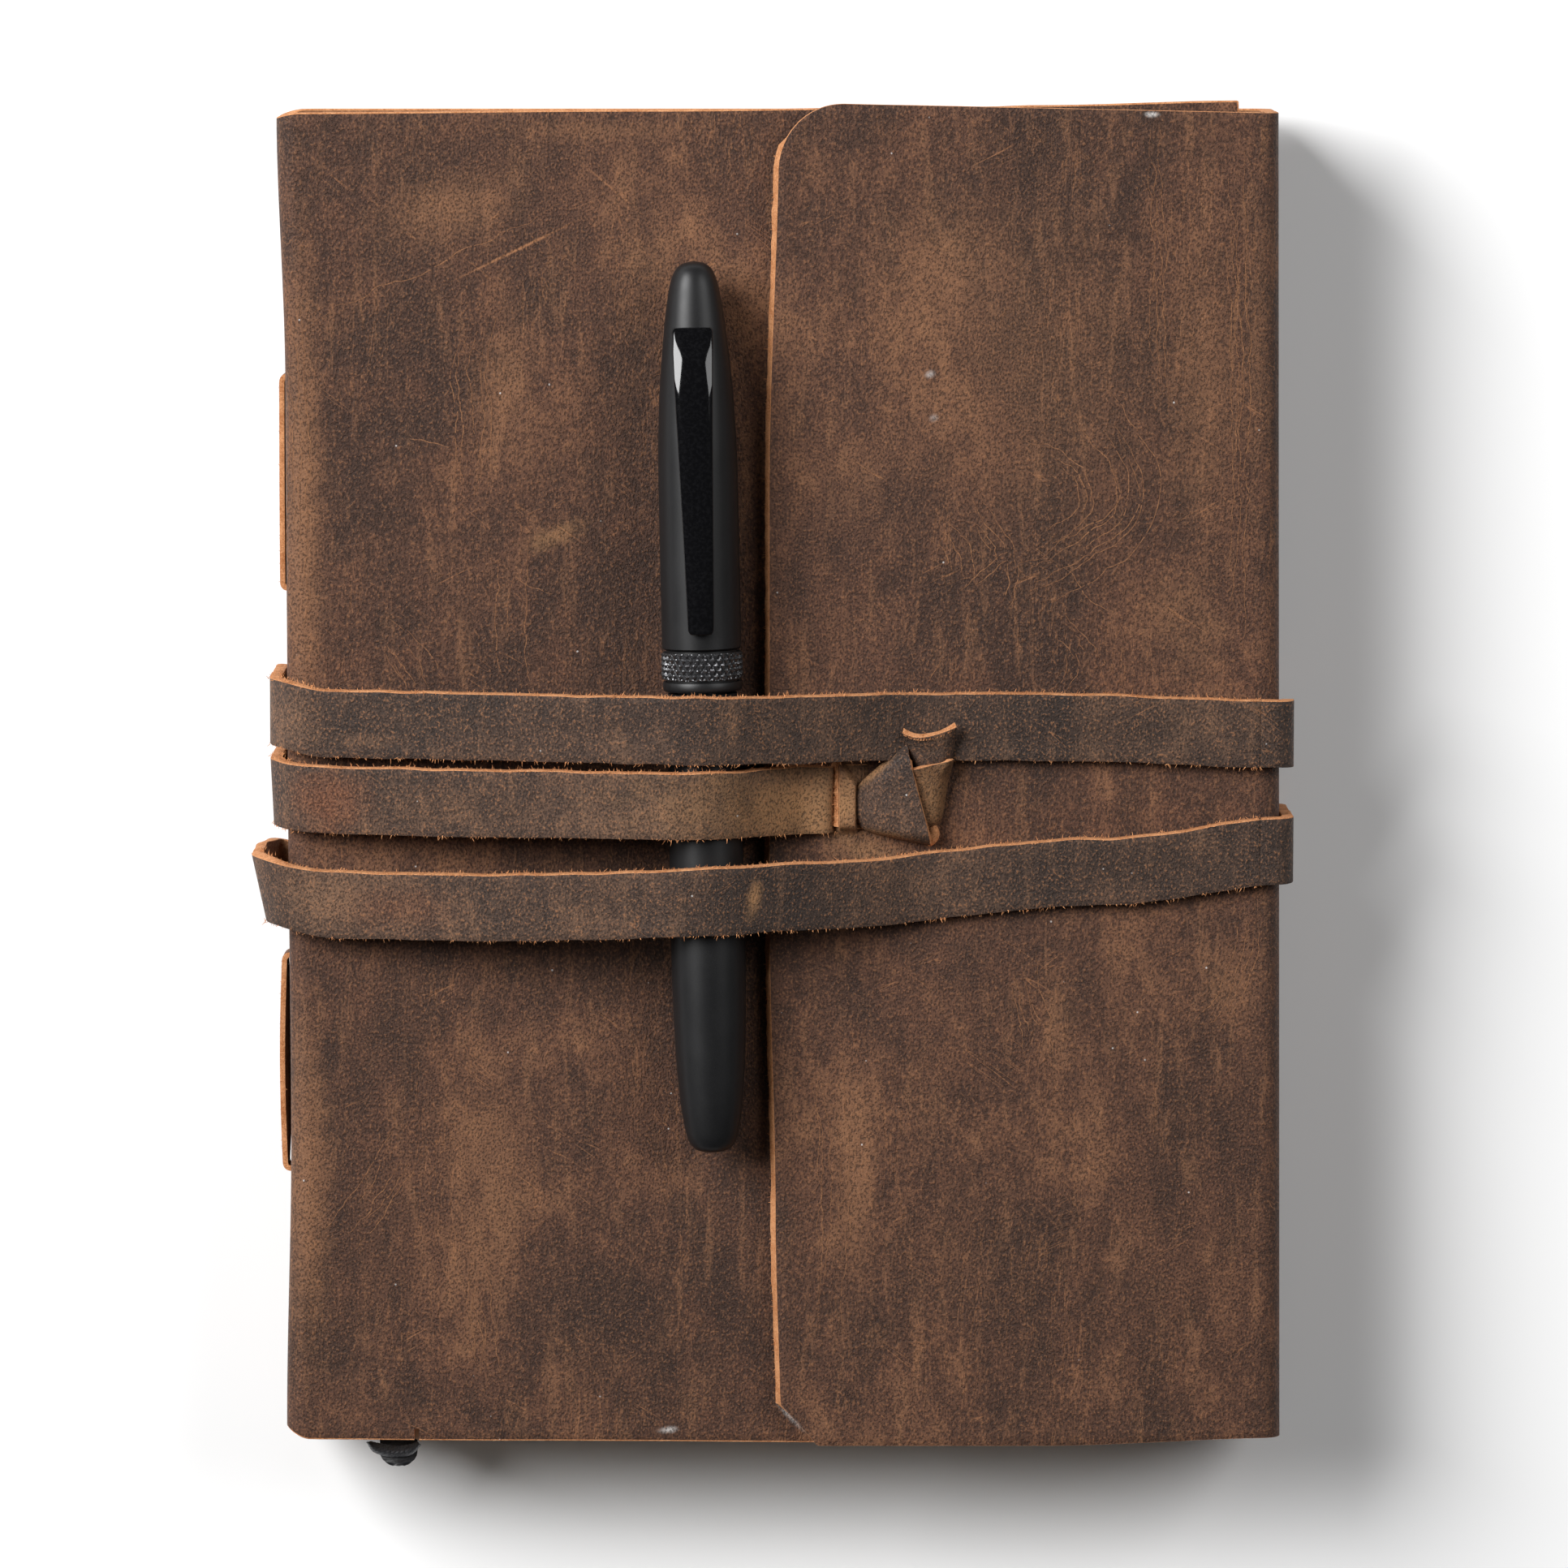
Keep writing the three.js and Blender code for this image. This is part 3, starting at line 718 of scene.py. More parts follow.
@dataclass(frozen=True)
class LeatherRaw:
    """Raw leather: the flesh side or a cut edge."""

    name: str
    pale: Colour
    deep: Colour
    size: float = 0.5
    relief: float = 0.25

    def material(self) -> bpy.types.Material:
        """Builds the material.

        Returns:
            The material.
        """
        material, graph, shader = new_material(self.name)
        place = graph.add("ShaderNodeAttribute", attribute_name=REST).outputs["Vector"]
        tufts = graph.noise(place, self.size, 5, 0.7, 1.2)
        broad = graph.noise(place, self.size * 9, 3, 0.6)
        both = graph.math("ADD", graph.math("MULTIPLY", tufts, 0.7), graph.math("MULTIPLY", broad, 0.3))
        colour = graph.mix(graph.ramp(both, 0.36, 0.62), self.deep, self.pale)
        graph.tree.links.new(colour, shader.inputs["Base Color"])
        rough = graph.ramp(tufts, 0.3, 0.7, 0.95, 0.8)
        graph.tree.links.new(rough, shader.inputs["Roughness"])
        shader.inputs["Specular IOR Level"].default_value = 0.2
        bump(graph, shader, tufts, self.relief)
        return material


@dataclass(frozen=True)
class Coated:
    """Black coated or plated metal of the pen."""

    name: str
    colour: Colour
    metallic: float
    rough: float
    spread: float = 0.05
    grain: float = 0.12
    relief: float = 0.004
    specular: float = 0.5

    def material(self) -> bpy.types.Material:
        """Builds the material.

        Returns:
            The material.
        """
        material, graph, shader = new_material(self.name)
        place = graph.add("ShaderNodeTexCoord").outputs["Object"]
        in_mm = graph.moved(place, (1 / MM, 1 / MM, 1 / MM))
        stipple = graph.noise(in_mm, self.grain, 3, 0.6)
        handled = graph.noise(in_mm, 7, 4, 0.6)
        rough = graph.math("ADD", graph.ramp(handled, 0.35, 0.65, self.rough, self.rough + self.spread),
                           graph.math("MULTIPLY", stipple, self.spread))
        graph.tree.links.new(rough, shader.inputs["Roughness"])
        lifted = tuple(min(1, c * 1.5 + 0.002) for c in self.colour)
        colour = graph.mix(graph.ramp(stipple, 0.4, 0.7), self.colour, lifted)
        graph.tree.links.new(colour, shader.inputs["Base Color"])
        shader.inputs["Metallic"].default_value = self.metallic
        shader.inputs["Specular IOR Level"].default_value = self.specular
        bump(graph, shader, stipple, self.relief)
        return material


@dataclass(frozen=True)
class Stock:
    """Paper, card or ribbon: a flat stock with fibres or ribs."""

    name: str
    pale: Colour
    deep: Colour
    fibre: tuple[float, float, float]
    size: float
    rough: float
    relief: float

    def material(self) -> bpy.types.Material:
        """Builds the material.

        Returns:
            The material.
        """
        material, graph, shader = new_material(self.name)
        place = graph.add("ShaderNodeTexCoord").outputs["Object"]
        in_mm = graph.moved(place, tuple(share / MM for share in self.fibre))
        fibres = graph.noise(in_mm, self.size, 5, 0.65, 0.4)
        clouds = graph.noise(graph.moved(place, (1 / MM, 1 / MM, 1 / MM)), 14, 3, 0.55)
        both = graph.math("ADD", graph.math("MULTIPLY", fibres, 0.65), graph.math("MULTIPLY", clouds, 0.35))
        colour = graph.mix(graph.ramp(both, 0.38, 0.62), self.deep, self.pale)
        graph.tree.links.new(colour, shader.inputs["Base Color"])
        rough = graph.ramp(clouds, 0.3, 0.7, self.rough - 0.05, self.rough + 0.05)
        graph.tree.links.new(rough, shader.inputs["Roughness"])
        bump(graph, shader, fibres, self.relief)
        return material


# ---- Levels of the closed cover -----------------------------------------------------------


@dataclass(frozen=True)
class Levels:
    """Faces of the CAD frame that the leather follows, in millimetres."""

    back_z: float
    front_z: float
    front_top: float
    flap_z: float
    hide: float
    spine_x: float
    fore_x: float
    head_y: float
    foot_y: float
    front_edge_x: float
    flap_head_y: float
    flap_foot_y: float

    @classmethod
    def read(cls) -> "Levels":
        """Reads them from the frame."""
        back_low, back_high = box_mm("back_panel")
        front_low, front_high = box_mm("front_panel")
        flap_low, flap_high = box_mm("flap_panel")
        hide = back_high.z - back_low.z
        return cls(
            back_z=back_low.z, front_z=front_low.z, front_top=front_high.z, flap_z=flap_low.z,
            hide=hide, spine_x=box_mm("spine_panel")[0].x, fore_x=back_high.x,
            head_y=back_high.y, foot_y=back_low.y, front_edge_x=front_high.x,
            flap_head_y=flap_high.y, flap_foot_y=flap_low.y,
        )

    @property
    def flap_top(self) -> float:
        """Grain face of the flap."""
        return self.flap_z + self.hide


@dataclass(frozen=True)
class LeatherSet:
    """The three finishes of one kind of leather: grain, flesh and cut edge."""

    grain: bpy.types.Material
    flesh: bpy.types.Material
    edge: bpy.types.Material

    def dress(self, obj: bpy.types.Object) -> None:
        """Gives a sheet its three material slots, in the order that thicken() uses."""
        for material in (self.grain, self.flesh, self.edge):
            obj.data.materials.append(material)


def thicken(obj: bpy.types.Object, leather: LeatherSet, thickness: float, offset: float = -1,
            edge: float = 0.22) -> bpy.types.Object:
    """Turns a grain face into a sheet of leather.

    Args:
        obj: the grain face.
        leather: its finishes.
        thickness: in millimetres.
        offset: -1 keeps the face where it is, 0 puts the thickness on both sides of it.
        edge: how far the cut edges' corners are rounded.

    Returns:
        The same object.
    """
    leather.dress(obj)
    apply_modifier(
        obj, "SOLIDIFY", thickness=thickness * MM, offset=offset, use_even_offset=True,
        thickness_clamp=0, material_offset=1, material_offset_rim=2,
    )
    if edge:
        apply_modifier(
            obj, "BEVEL", width=edge * MM, segments=2, limit_method="ANGLE",
            angle_limit=math.radians(62), use_clamp_overlap=True, material=2,
        )
    soften(obj)
    return obj


def keep_grain(obj: bpy.types.Object, where: Callable[[np.ndarray, np.ndarray], np.ndarray]) -> None:
    """Gives cut-edge faces back to the grain, where an edge is worn smooth or folded away.

    Args:
        obj: a thickened sheet.
        where: says which faces, from their middles in millimetres and their normals.
    """
    faces = obj.data.polygons
    at = np.array([tuple(face.center) for face in faces]) / MM
    way = np.array([tuple(face.normal) for face in faces])
    slots = np.array([face.material_index for face in faces])
    slots[(slots == 2) & where(at, way)] = 0
    faces.foreach_set("material_index", slots)


def fibres(name: str, roots: np.ndarray, leans: np.ndarray, lengths: tuple[float, float],
           width: float, seed: int, material: bpy.types.Material) -> bpy.types.Object:
    """Sets loose leather fibres along raw edges.

    Args:
        name: the piece's name.
        roots: where each fibre starts, in millimetres.
        leans: which way each one points.
        lengths: shortest and longest.
        width: how thick a fibre is at its root.
        seed: seed of the scatter.
        material: their finish.

    Returns:
        One mesh of them all.
    """
    draw = np.random.default_rng(seed)
    deselect()
    bpy.ops.mesh.primitive_cone_add(vertices=3, radius1=0.5, radius2=0.12, depth=1)
    model = named("fibre")
    set_corners(model, corners_of(model) * MM + np.array([0, 0, 0.4]))
    count = len(roots)
    ways = leans + draw.normal(0, 0.55, (count, 3))
    ways /= np.linalg.norm(ways, axis=1)[:, None]
    side = np.cross(ways, draw.normal(0, 1, (count, 3)))
    side /= np.linalg.norm(side, axis=1)[:, None]
    turns = np.stack([side, np.cross(ways, side), ways], axis=2)
    thick = width * draw.uniform(0.5, 1.2, (count, 1))
    long = draw.uniform(*lengths, (count, 1)) * draw.uniform(0.3, 1.0, (count, 1))
    made = copies(name, model, roots, turns, np.hstack([thick, thick, long]))
    made.data.materials.append(material)
    remember_rest(made)
    return made


# ---- The hide -----------------------------------------------------------------------------


@dataclass
class Hide:
    """The cover's one hide: front and spine, back, fore edge and flap."""

    levels: Levels
    leather: LeatherSet
    fuzz: bpy.types.Material
    row_step: float = 1.7
    column_step: float = 1.6
    bend: float = 3.4
    seam_x: float = 58.0
    seam_z: float = 17.0
    flap_corner: float = 10.0
    flap_clip: Point = (5.6, 6.4)
    foot_corner: float = 4.0
    slit_foot: float = -6.9
    slit_heads: Point = (3.1, -0.4)
    slit_x: tuple[Point, Point] = ((7.9, 8.75), (11.55, 13.3))
    bridge_lift: float = 2.1
    skive: float = 0.75
    lean: float = -0.0055
    free_edge: Callable = field(default=knots([
        (-102, 0.1), (-66, -0.7), (-20, -1.6), (44, -1.6), (103, -0.1)]))
    spine_bow: Callable = field(default=knots([(-100, -0.1), (-54, 0.75), (0, 0.5), (60, 0.4), (101, -0.75)]))
    head_of_front: Callable = field(default=knots([(-75, 0.0), (-20, 0.4), (31, 0.9), (38, 1.1), (70, 1.8)]))
    foot_of_front: Callable = field(default=knots([(-75, 0.2), (-40, 0.0), (20, -0.3), (70, 0.8)]))

    def shifted(self, points: np.ndarray) -> np.ndarray:
        """Leans the whole hide a little, as a handled cover does, and bows its spine.

        Args:
            points: rows of x, y, z.

        Returns:
            The moved rows.
        """
        x, y = points[:, 0], points[:, 1]
        left = smooth((-x - 60) / 12)
        right = smooth((x - 55) / 15)
        points[:, 0] = x + left * self.spine_bow(y) + right * self.lean * y
        return points

    def sheet(self, name: str, course: np.ndarray, head: np.ndarray, foot: np.ndarray) -> bpy.types.Object:
        """Lays a grain face along a course.

        Args:
            name: the piece's name.
            course: rows of x and z.
            head: the head edge's Y at each station.
            foot: the foot edge's Y at each station.

        Returns:
            The grain face.
        """
        columns = len(course) - 1
        rows = round((self.levels.head_y - self.levels.foot_y) / self.row_step)

        def place(u: np.ndarray, v: np.ndarray) -> np.ndarray:
            """Puts a corner on the course."""
            index = np.rint(u * columns).astype(int)
            y = foot[index] + (head[index] - foot[index]) * v
            return self.shifted(np.stack([course[index, 0], y, course[index, 1]], axis=1))

        return grid_piece(name, columns, rows, place)

    def settle(self, obj: bpy.types.Object, low: float, high: float) -> None:
        """Makes the flat top of a grain face slightly uneven.

        Args:
            obj: the grain face.
            low: the deepest hollow.
            high: the highest swell.
        """
        points = corners_of(obj)
        top = smooth((points[:, 2] - self.levels.front_z) / self.levels.hide)
        swell = 0.5 + 0.38 * waves(points, 34, 1) + 0.2 * waves(points, 9, 2)
        points[:, 2] += top * (low + (high - low) * np.clip(swell, 0, 1))
        set_corners(obj, points)

    def finish(self, obj: bpy.types.Object, slot: str = "hide") -> None:
        """Stores rest places."""
        remember_rest(obj)

    def front_and_spine(self, laces: Sequence[tuple[Vector, Vector]]) -> bpy.types.Object:
        """Builds the front panel, the spine and most of the back as one sheet.

        Args:
            laces: corners of each lace's loop, which the spine has slits for.

        Returns:
            The piece.
        """
        lv = self.levels
        course = rounded_course([
            (self.seam_x, lv.back_z, 0), (lv.spine_x, lv.back_z, self.bend),
            (lv.spine_x, lv.front_top, self.bend), (lv.front_edge_x, lv.front_top, 0)],
            self.column_step)
        x, z = course[:, 0], course[:, 1]
        on_front = smooth((z - lv.front_z + 2) / 3)
        near_spine = np.clip((lv.spine_x + self.foot_corner - x) / self.foot_corner, 0, 1)
        tuck = 0.45 * self.foot_corner * near_spine**2
        head = lv.head_y + on_front * self.head_of_front(x) - 0.4 * tuck
        foot = lv.foot_y + on_front * self.foot_of_front(x) + tuck
        obj = self.sheet("cover_front_and_spine", course, head, foot)
        self.settle(obj, -0.28, 0.0)
        thicken(obj, self.leather, lv.hide)
        notch = box_piece("notch", (-55.75, lv.foot_y - 2, lv.front_z - 3),
                          (-55.05, lv.foot_y + 1.9, lv.front_top + 3))
        cutters = [notch]
        for low, high in laces:
            width = 1.2
            for y in (low.y, high.y - width):
                cutters.append(box_piece(
                    "lace_slit", (lv.spine_x - 3, y - 0.15, low.z - 0.3),
                    (lv.spine_x + lv.hide + 2.2, y + width + 0.15, high.z + 0.3)))
        self.cut(obj, cutters)
        self.finish(obj)
        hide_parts("front_panel", "spine_panel")
        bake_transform(obj)
        return obj

    def cut(self, obj: bpy.types.Object, cutters: list[bpy.types.Object]) -> None:
        """Cuts slits that show raw leather."""
        for cutter in cutters:
            cutter.data.materials.append(self.leather.edge)
        cut_out(obj, cutters)
        soften(obj)

    def back_and_fore_edge(self) -> bpy.types.Object:
        """Builds the last of the back and the lower fore edge as one sheet.

        Returns:
            The piece.
        """
        lv = self.levels
        course = rounded_course([
            (lv.fore_x, self.seam_z, 0), (lv.fore_x, lv.back_z, self.bend),
            (self.seam_x, lv.back_z, 0)], self.column_step)
        head = np.full(len(course), lv.head_y)
        foot = np.full(len(course), lv.foot_y) + 0.5 * smooth((course[:, 1] - lv.back_z) / 12)
        obj = self.sheet("cover_back_and_fore_edge", course, head, foot)
        thicken(obj, self.leather, lv.hide)
        self.finish(obj)
        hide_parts("back_panel")
        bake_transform(obj)
        return obj

    def flap(self) -> bpy.types.Object:
        """Builds the flap and the upper fore edge as one sheet, with its slits and bridge.

        Returns:
            The piece.
        """
        lv = self.levels
        fine = 0.45
        knot_room = (5.0, 15.0)
        flat = [
            np.arange(0, knot_room[0], self.column_step),
            np.arange(knot_room[0], knot_room[1], fine),
            np.arange(knot_room[1], lv.fore_x - self.bend - 1, self.column_step),
        ]
        turn = rounded_course([
            (lv.fore_x - self.bend - 1, lv.flap_top, 0), (lv.fore_x, lv.flap_top, self.bend),
            (lv.fore_x, self.seam_z, 0)], self.column_step)
        level = np.concatenate(flat)
        course = np.vstack([np.stack([level, np.full(len(level), lv.flap_top)], axis=1), turn])
        rows_y = np.concatenate([
            np.linspace(0, 1, 58, endpoint=False) * (-10 - lv.flap_foot_y) + lv.flap_foot_y,
            np.arange(-10, 6, fine),
            np.linspace(6, lv.flap_head_y, 60),
        ])
        columns, rows = len(course) - 1, len(rows_y) - 1
        x = course[:, 0]
        on_top = smooth((course[:, 1] - self.seam_z - 4) / 6)
        head = lv.head_y + (lv.flap_head_y - lv.head_y) * on_top * (1 - x / lv.fore_x)
        foot = lv.foot_y + 0.5 + on_top * (lv.flap_foot_y - lv.foot_y - 0.5 + 1.2 * smooth((x - 40) / 36))

        def place(u: np.ndarray, v: np.ndarray) -> np.ndarray:
            """Puts a corner on the flap."""
            column, row = np.rint(u * columns).astype(int), np.rint(v * rows).astype(int)
            share = (rows_y[row] - rows_y[0]) / (rows_y[-1] - rows_y[0])
            plain = rows_y[row]
            ends = smooth((np.abs(plain + 2) - 12) / 50)
            y = plain * (1 - ends) + ends * (foot[column] + (head[column] - foot[column]) * share)
            px, pz = course[column, 0].copy(), course[column, 1].copy()
            px, y = self.corners(px, y)
            px += self.free_edge(y) * (1 - smooth(px / 50))
            (_, left), (right, _) = self.slit_x
            slit_head = np.interp(px, (left, right), self.slit_heads)
            arch_y = smooth((y - self.slit_foot + 1.2) / 1.6) * smooth((slit_head + 1.2 - y) / 1.6)
            arch_x = smooth((px - left + 0.25) / 0.5) * smooth((right + 0.25 - px) / 0.5)
            pz += self.bridge_lift * arch_y * arch_x
            return self.shifted(np.stack([px, y, pz], axis=1))

        obj = grid_piece("cover_flap", columns, rows, place)
        self.settle(obj, 0.0, 0.4)
        points = corners_of(obj)
        edge = 1 - smooth((points[:, 0] + 2) / 7)
        points[:, 2] += 0.35 * edge * (0.5 + 0.5 * waves(points, 22, 5))
        set_corners(obj, points)
        thicken(obj, self.leather, lv.hide)
        points = corners_of(obj)
        rim = (points[:, 0] - self.free_edge(points[:, 1]) < 0.9) & (points[:, 2] < lv.flap_z + 1.2)
        depth = np.clip((lv.flap_z + 1.6 - points[:, 2]) / 1.4, 0, 1)
        ragged = 1 + 0.35 * waves(points, 1.6, 7)
        points[:, 0] -= rim * depth * self.skive * ragged
        set_corners(obj, points)
        slits = [
            box_piece("flap_slit", (left, self.slit_foot, lv.front_top), (right, slit_head, lv.flap_top + 5))
            for (left, right), slit_head in zip(self.slit_x, self.slit_heads)
        ]
        self.cut(obj, slits)
        self.finish(obj)
        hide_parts("flap_panel", "fore_edge_panel")
        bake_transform(obj)
        return obj

    def corners(self, x: np.ndarray, y: np.ndarray) -> tuple[np.ndarray, np.ndarray]:
        """Rounds the flap's head corner and clips its foot corner.

        Args:
            x: places along X.
            y: places along Y.

        Returns:
            The moved x and y.
        """
        lv, radius = self.levels, self.flap_corner
        across, up = (radius - x) / radius, (y - (lv.flap_head_y - radius)) / radius
        inside = (across > 0) & (up > 0)
        turned_x = radius - radius * across * np.sqrt(np.clip(1 - up**2 / 2, 0, 1))
        turned_y = lv.flap_head_y - radius + radius * up * np.sqrt(np.clip(1 - across**2 / 2, 0, 1))
        x, y = np.where(inside, turned_x, x), np.where(inside, turned_y, y)
        wide, high = self.flap_clip
        across, down = (wide - x) / wide, (lv.flap_foot_y + high - y) / high
        inside = (across > 0) & (down > 0)
        most = np.maximum(np.maximum(across, down), 1e-6)
        pull = np.where(inside, most / np.maximum(across + down, 1e-6), 1)
        x = np.where(inside, wide - wide * across * pull, x)
        y = np.where(inside, lv.flap_foot_y + high - high * down * pull, y)
        return x, y

    def slit_lip(self) -> bpy.types.Object:
        """Builds the torn lip that turns up along the first slit."""
        lv = self.levels
        low_x, high_x = self.slit_x[0]
        foot, head = self.slit_foot, self.slit_heads[0]

        def place(u: np.ndarray, v: np.ndarray) -> np.ndarray:
            """Puts a corner on the lip."""
            x = low_x - 0.2 + (high_x + 0.5 - low_x) * u
            y = foot + 0.1 + (head - foot - 0.1) * v
            z = lv.flap_top + 0.1 + (self.bridge_lift - 0.35) * u**0.7
            ragged = 0.16 * np.sin(5.1 * y) + 0.10 * np.sin(13.7 * y)
            return np.stack([x + ragged * (1 - u), y, z + 0.12 * np.sin(3.7 * y + 4 * u)], axis=1)

        obj = grid_piece("cover_slit_lip", 8, 40, place)
        apply_modifier(obj, "SOLIDIFY", thickness=0.35 * MM, offset=-1)
        obj.data.materials.append(self.leather.edge)
        soften(obj, 60)
        remember_rest(obj)
        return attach(obj, "flap")

    def build(self, laces: Sequence[tuple[Vector, Vector]]) -> list[bpy.types.Object]:
        """Builds the three sheets and the fuzz of the raw edges.

        Args:
            laces: corners of each lace's loop.

        Returns:
            The pieces.
        """
        lv = self.levels
        made = [self.front_and_spine(laces), self.back_and_fore_edge(), self.flap()]
        draw = np.random.default_rng(11)
        count = 900
        y = draw.uniform(lv.flap_foot_y + 7, lv.flap_head_y - 8, count)
        down = draw.uniform(0.05, 0.95, count)
        x = self.free_edge(y) + 0.1 - self.skive * down
        z = lv.flap_top - 0.1 - 1.9 * down
        roots = np.stack([x, y, z], axis=1)
        leans = np.tile([-1.0, 0.0, 0.35], (count, 1))
        edge = fibres("cover_flap_edge_fibres", roots, leans, (0.25, 1.1), 0.13, 12, self.fuzz)
        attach(edge, "flap")
        count = 150
        made.append(self.slit_lip())
        left = self.slit_x[0][1] - 0.4
        y = draw.uniform(self.slit_foot + 0.2, self.slit_heads[0] - 0.1, count)
        z = draw.uniform(lv.flap_top, lv.flap_top + self.bridge_lift - 0.2, count)
        roots = np.stack([np.full(count, left), y, z], axis=1)
        slit = fibres("cover_slit_fibres", roots, np.tile([-1.0, 0.0, 0.3], (count, 1)), (0.3, 0.9),
                      0.13, 13, self.fuzz)
        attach(slit, "flap")
        return [*made, edge, slit]


@dataclass(frozen=True)
class Crease:
    """A bunch of fine pull-up lines: the course of the first, how many, and how far apart."""

    course: tuple[Point, ...]
    count: int = 1
    apart: float = 1.0


@dataclass(frozen=True)
class Creases:
    """The fine tan lines where the waxed leather was creased, lying on the grain face."""

    line: bpy.types.Material
    step: float = 0.42
    width: float = 0.16
    height: float = 0.05
    lowest: float = 20.0
    gaps: float = 0.08

    def strokes(self, bunches: Sequence[Crease], draw: np.random.Generator) -> list[np.ndarray]:
        """Spreads each bunch into its separate wandering strokes.

        Args:
            bunches: the bunches.
            draw: source of chance.

        Returns:
            Rows of x and y for each stroke.
        """
        made = []
        for bunch in bunches:
            rough = curve_through(bunch.course, 40)
            count = max(6, round(np.linalg.norm(np.diff(rough, axis=0), axis=1).sum() / self.step))
            course = curve_through(bunch.course, count)
            way = np.gradient(course, axis=0)
            side = np.stack([-way[:, 1], way[:, 0]], axis=1) / np.linalg.norm(way, axis=1)[:, None]
            flat = np.column_stack([course, np.zeros(count)])
            for number in range(bunch.count):
                seed = int(draw.integers(1, 900))
                shift = -number * bunch.apart * draw.uniform(0.7, 1.3)
                wander = 0.8 * waves(flat, 4.5, seed) + 0.35 * waves(flat, 1.3, seed + 1)
                first, last = (0.0, 1.0) if number == 0 else (draw.uniform(0, 0.3), draw.uniform(0.6, 1.0))
                stroke = course + side * (shift + wander)[:, None]
                made.append(stroke[int(first * count):int(last * count) + 1])
        return made

    def build(self, name: str, cover: bpy.types.Object, bunches: Sequence[Crease],
              body: str) -> bpy.types.Object:
        """Lays a cover's creases on its grain face.

        Args:
            name: the piece's name.
            cover: the sheet that they lie on.
            bunches: the bunches of creases.
            body: the body that they ride on.

        Returns:
            The piece.
        """
        bpy.context.view_layer.update()
        draw = np.random.default_rng(41)
        middles, turns, sizes = [], [], []
        for stroke in self.strokes(bunches, draw):
            tops = [cover.ray_cast(Vector((x, y, 60)) * MM, Vector((0, 0, -1)))[1].z / MM for x, y in stroke]
            path = np.column_stack([stroke, tops])
            taper = np.sin(np.pi * np.linspace(0.12, 0.88, len(path)))
            for start, end, thin in zip(path[:-1], path[1:], taper):
                if min(start[2], end[2]) < self.lowest or draw.random() < self.gaps:
                    continue
                long = np.linalg.norm(end - start)
                along = (end - start) / long
                across = np.cross(along, (0, 0, 1))
                across /= np.linalg.norm(across)
                turns.append(np.stack([across, along, np.cross(across, along)], axis=1))
                middles.append((start + end) / 2)
                sizes.append((self.width * thin * draw.uniform(0.5, 1.2), long * 1.25, self.height))
        model = box_piece("crease_dash", (-0.5, -0.5, -0.5), (0.5, 0.5, 0.5))
        made = copies(name, model, np.array(middles), np.array(turns), np.array(sizes))
        made.data.materials.append(self.line)
        remember_rest(made)
        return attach(made, body)


# ---- The thong ----------------------------------------------------------------------------


@dataclass(frozen=True)
class Run:
    """One front run of the thong: its course over the page and its bend round the spine."""

    piece: str
    node: str
    course: tuple[Point, ...]
    out: float
    back_z: float
    end_x: float
    touchdown: float
    flare: float = 0.0
    seed: int = 1


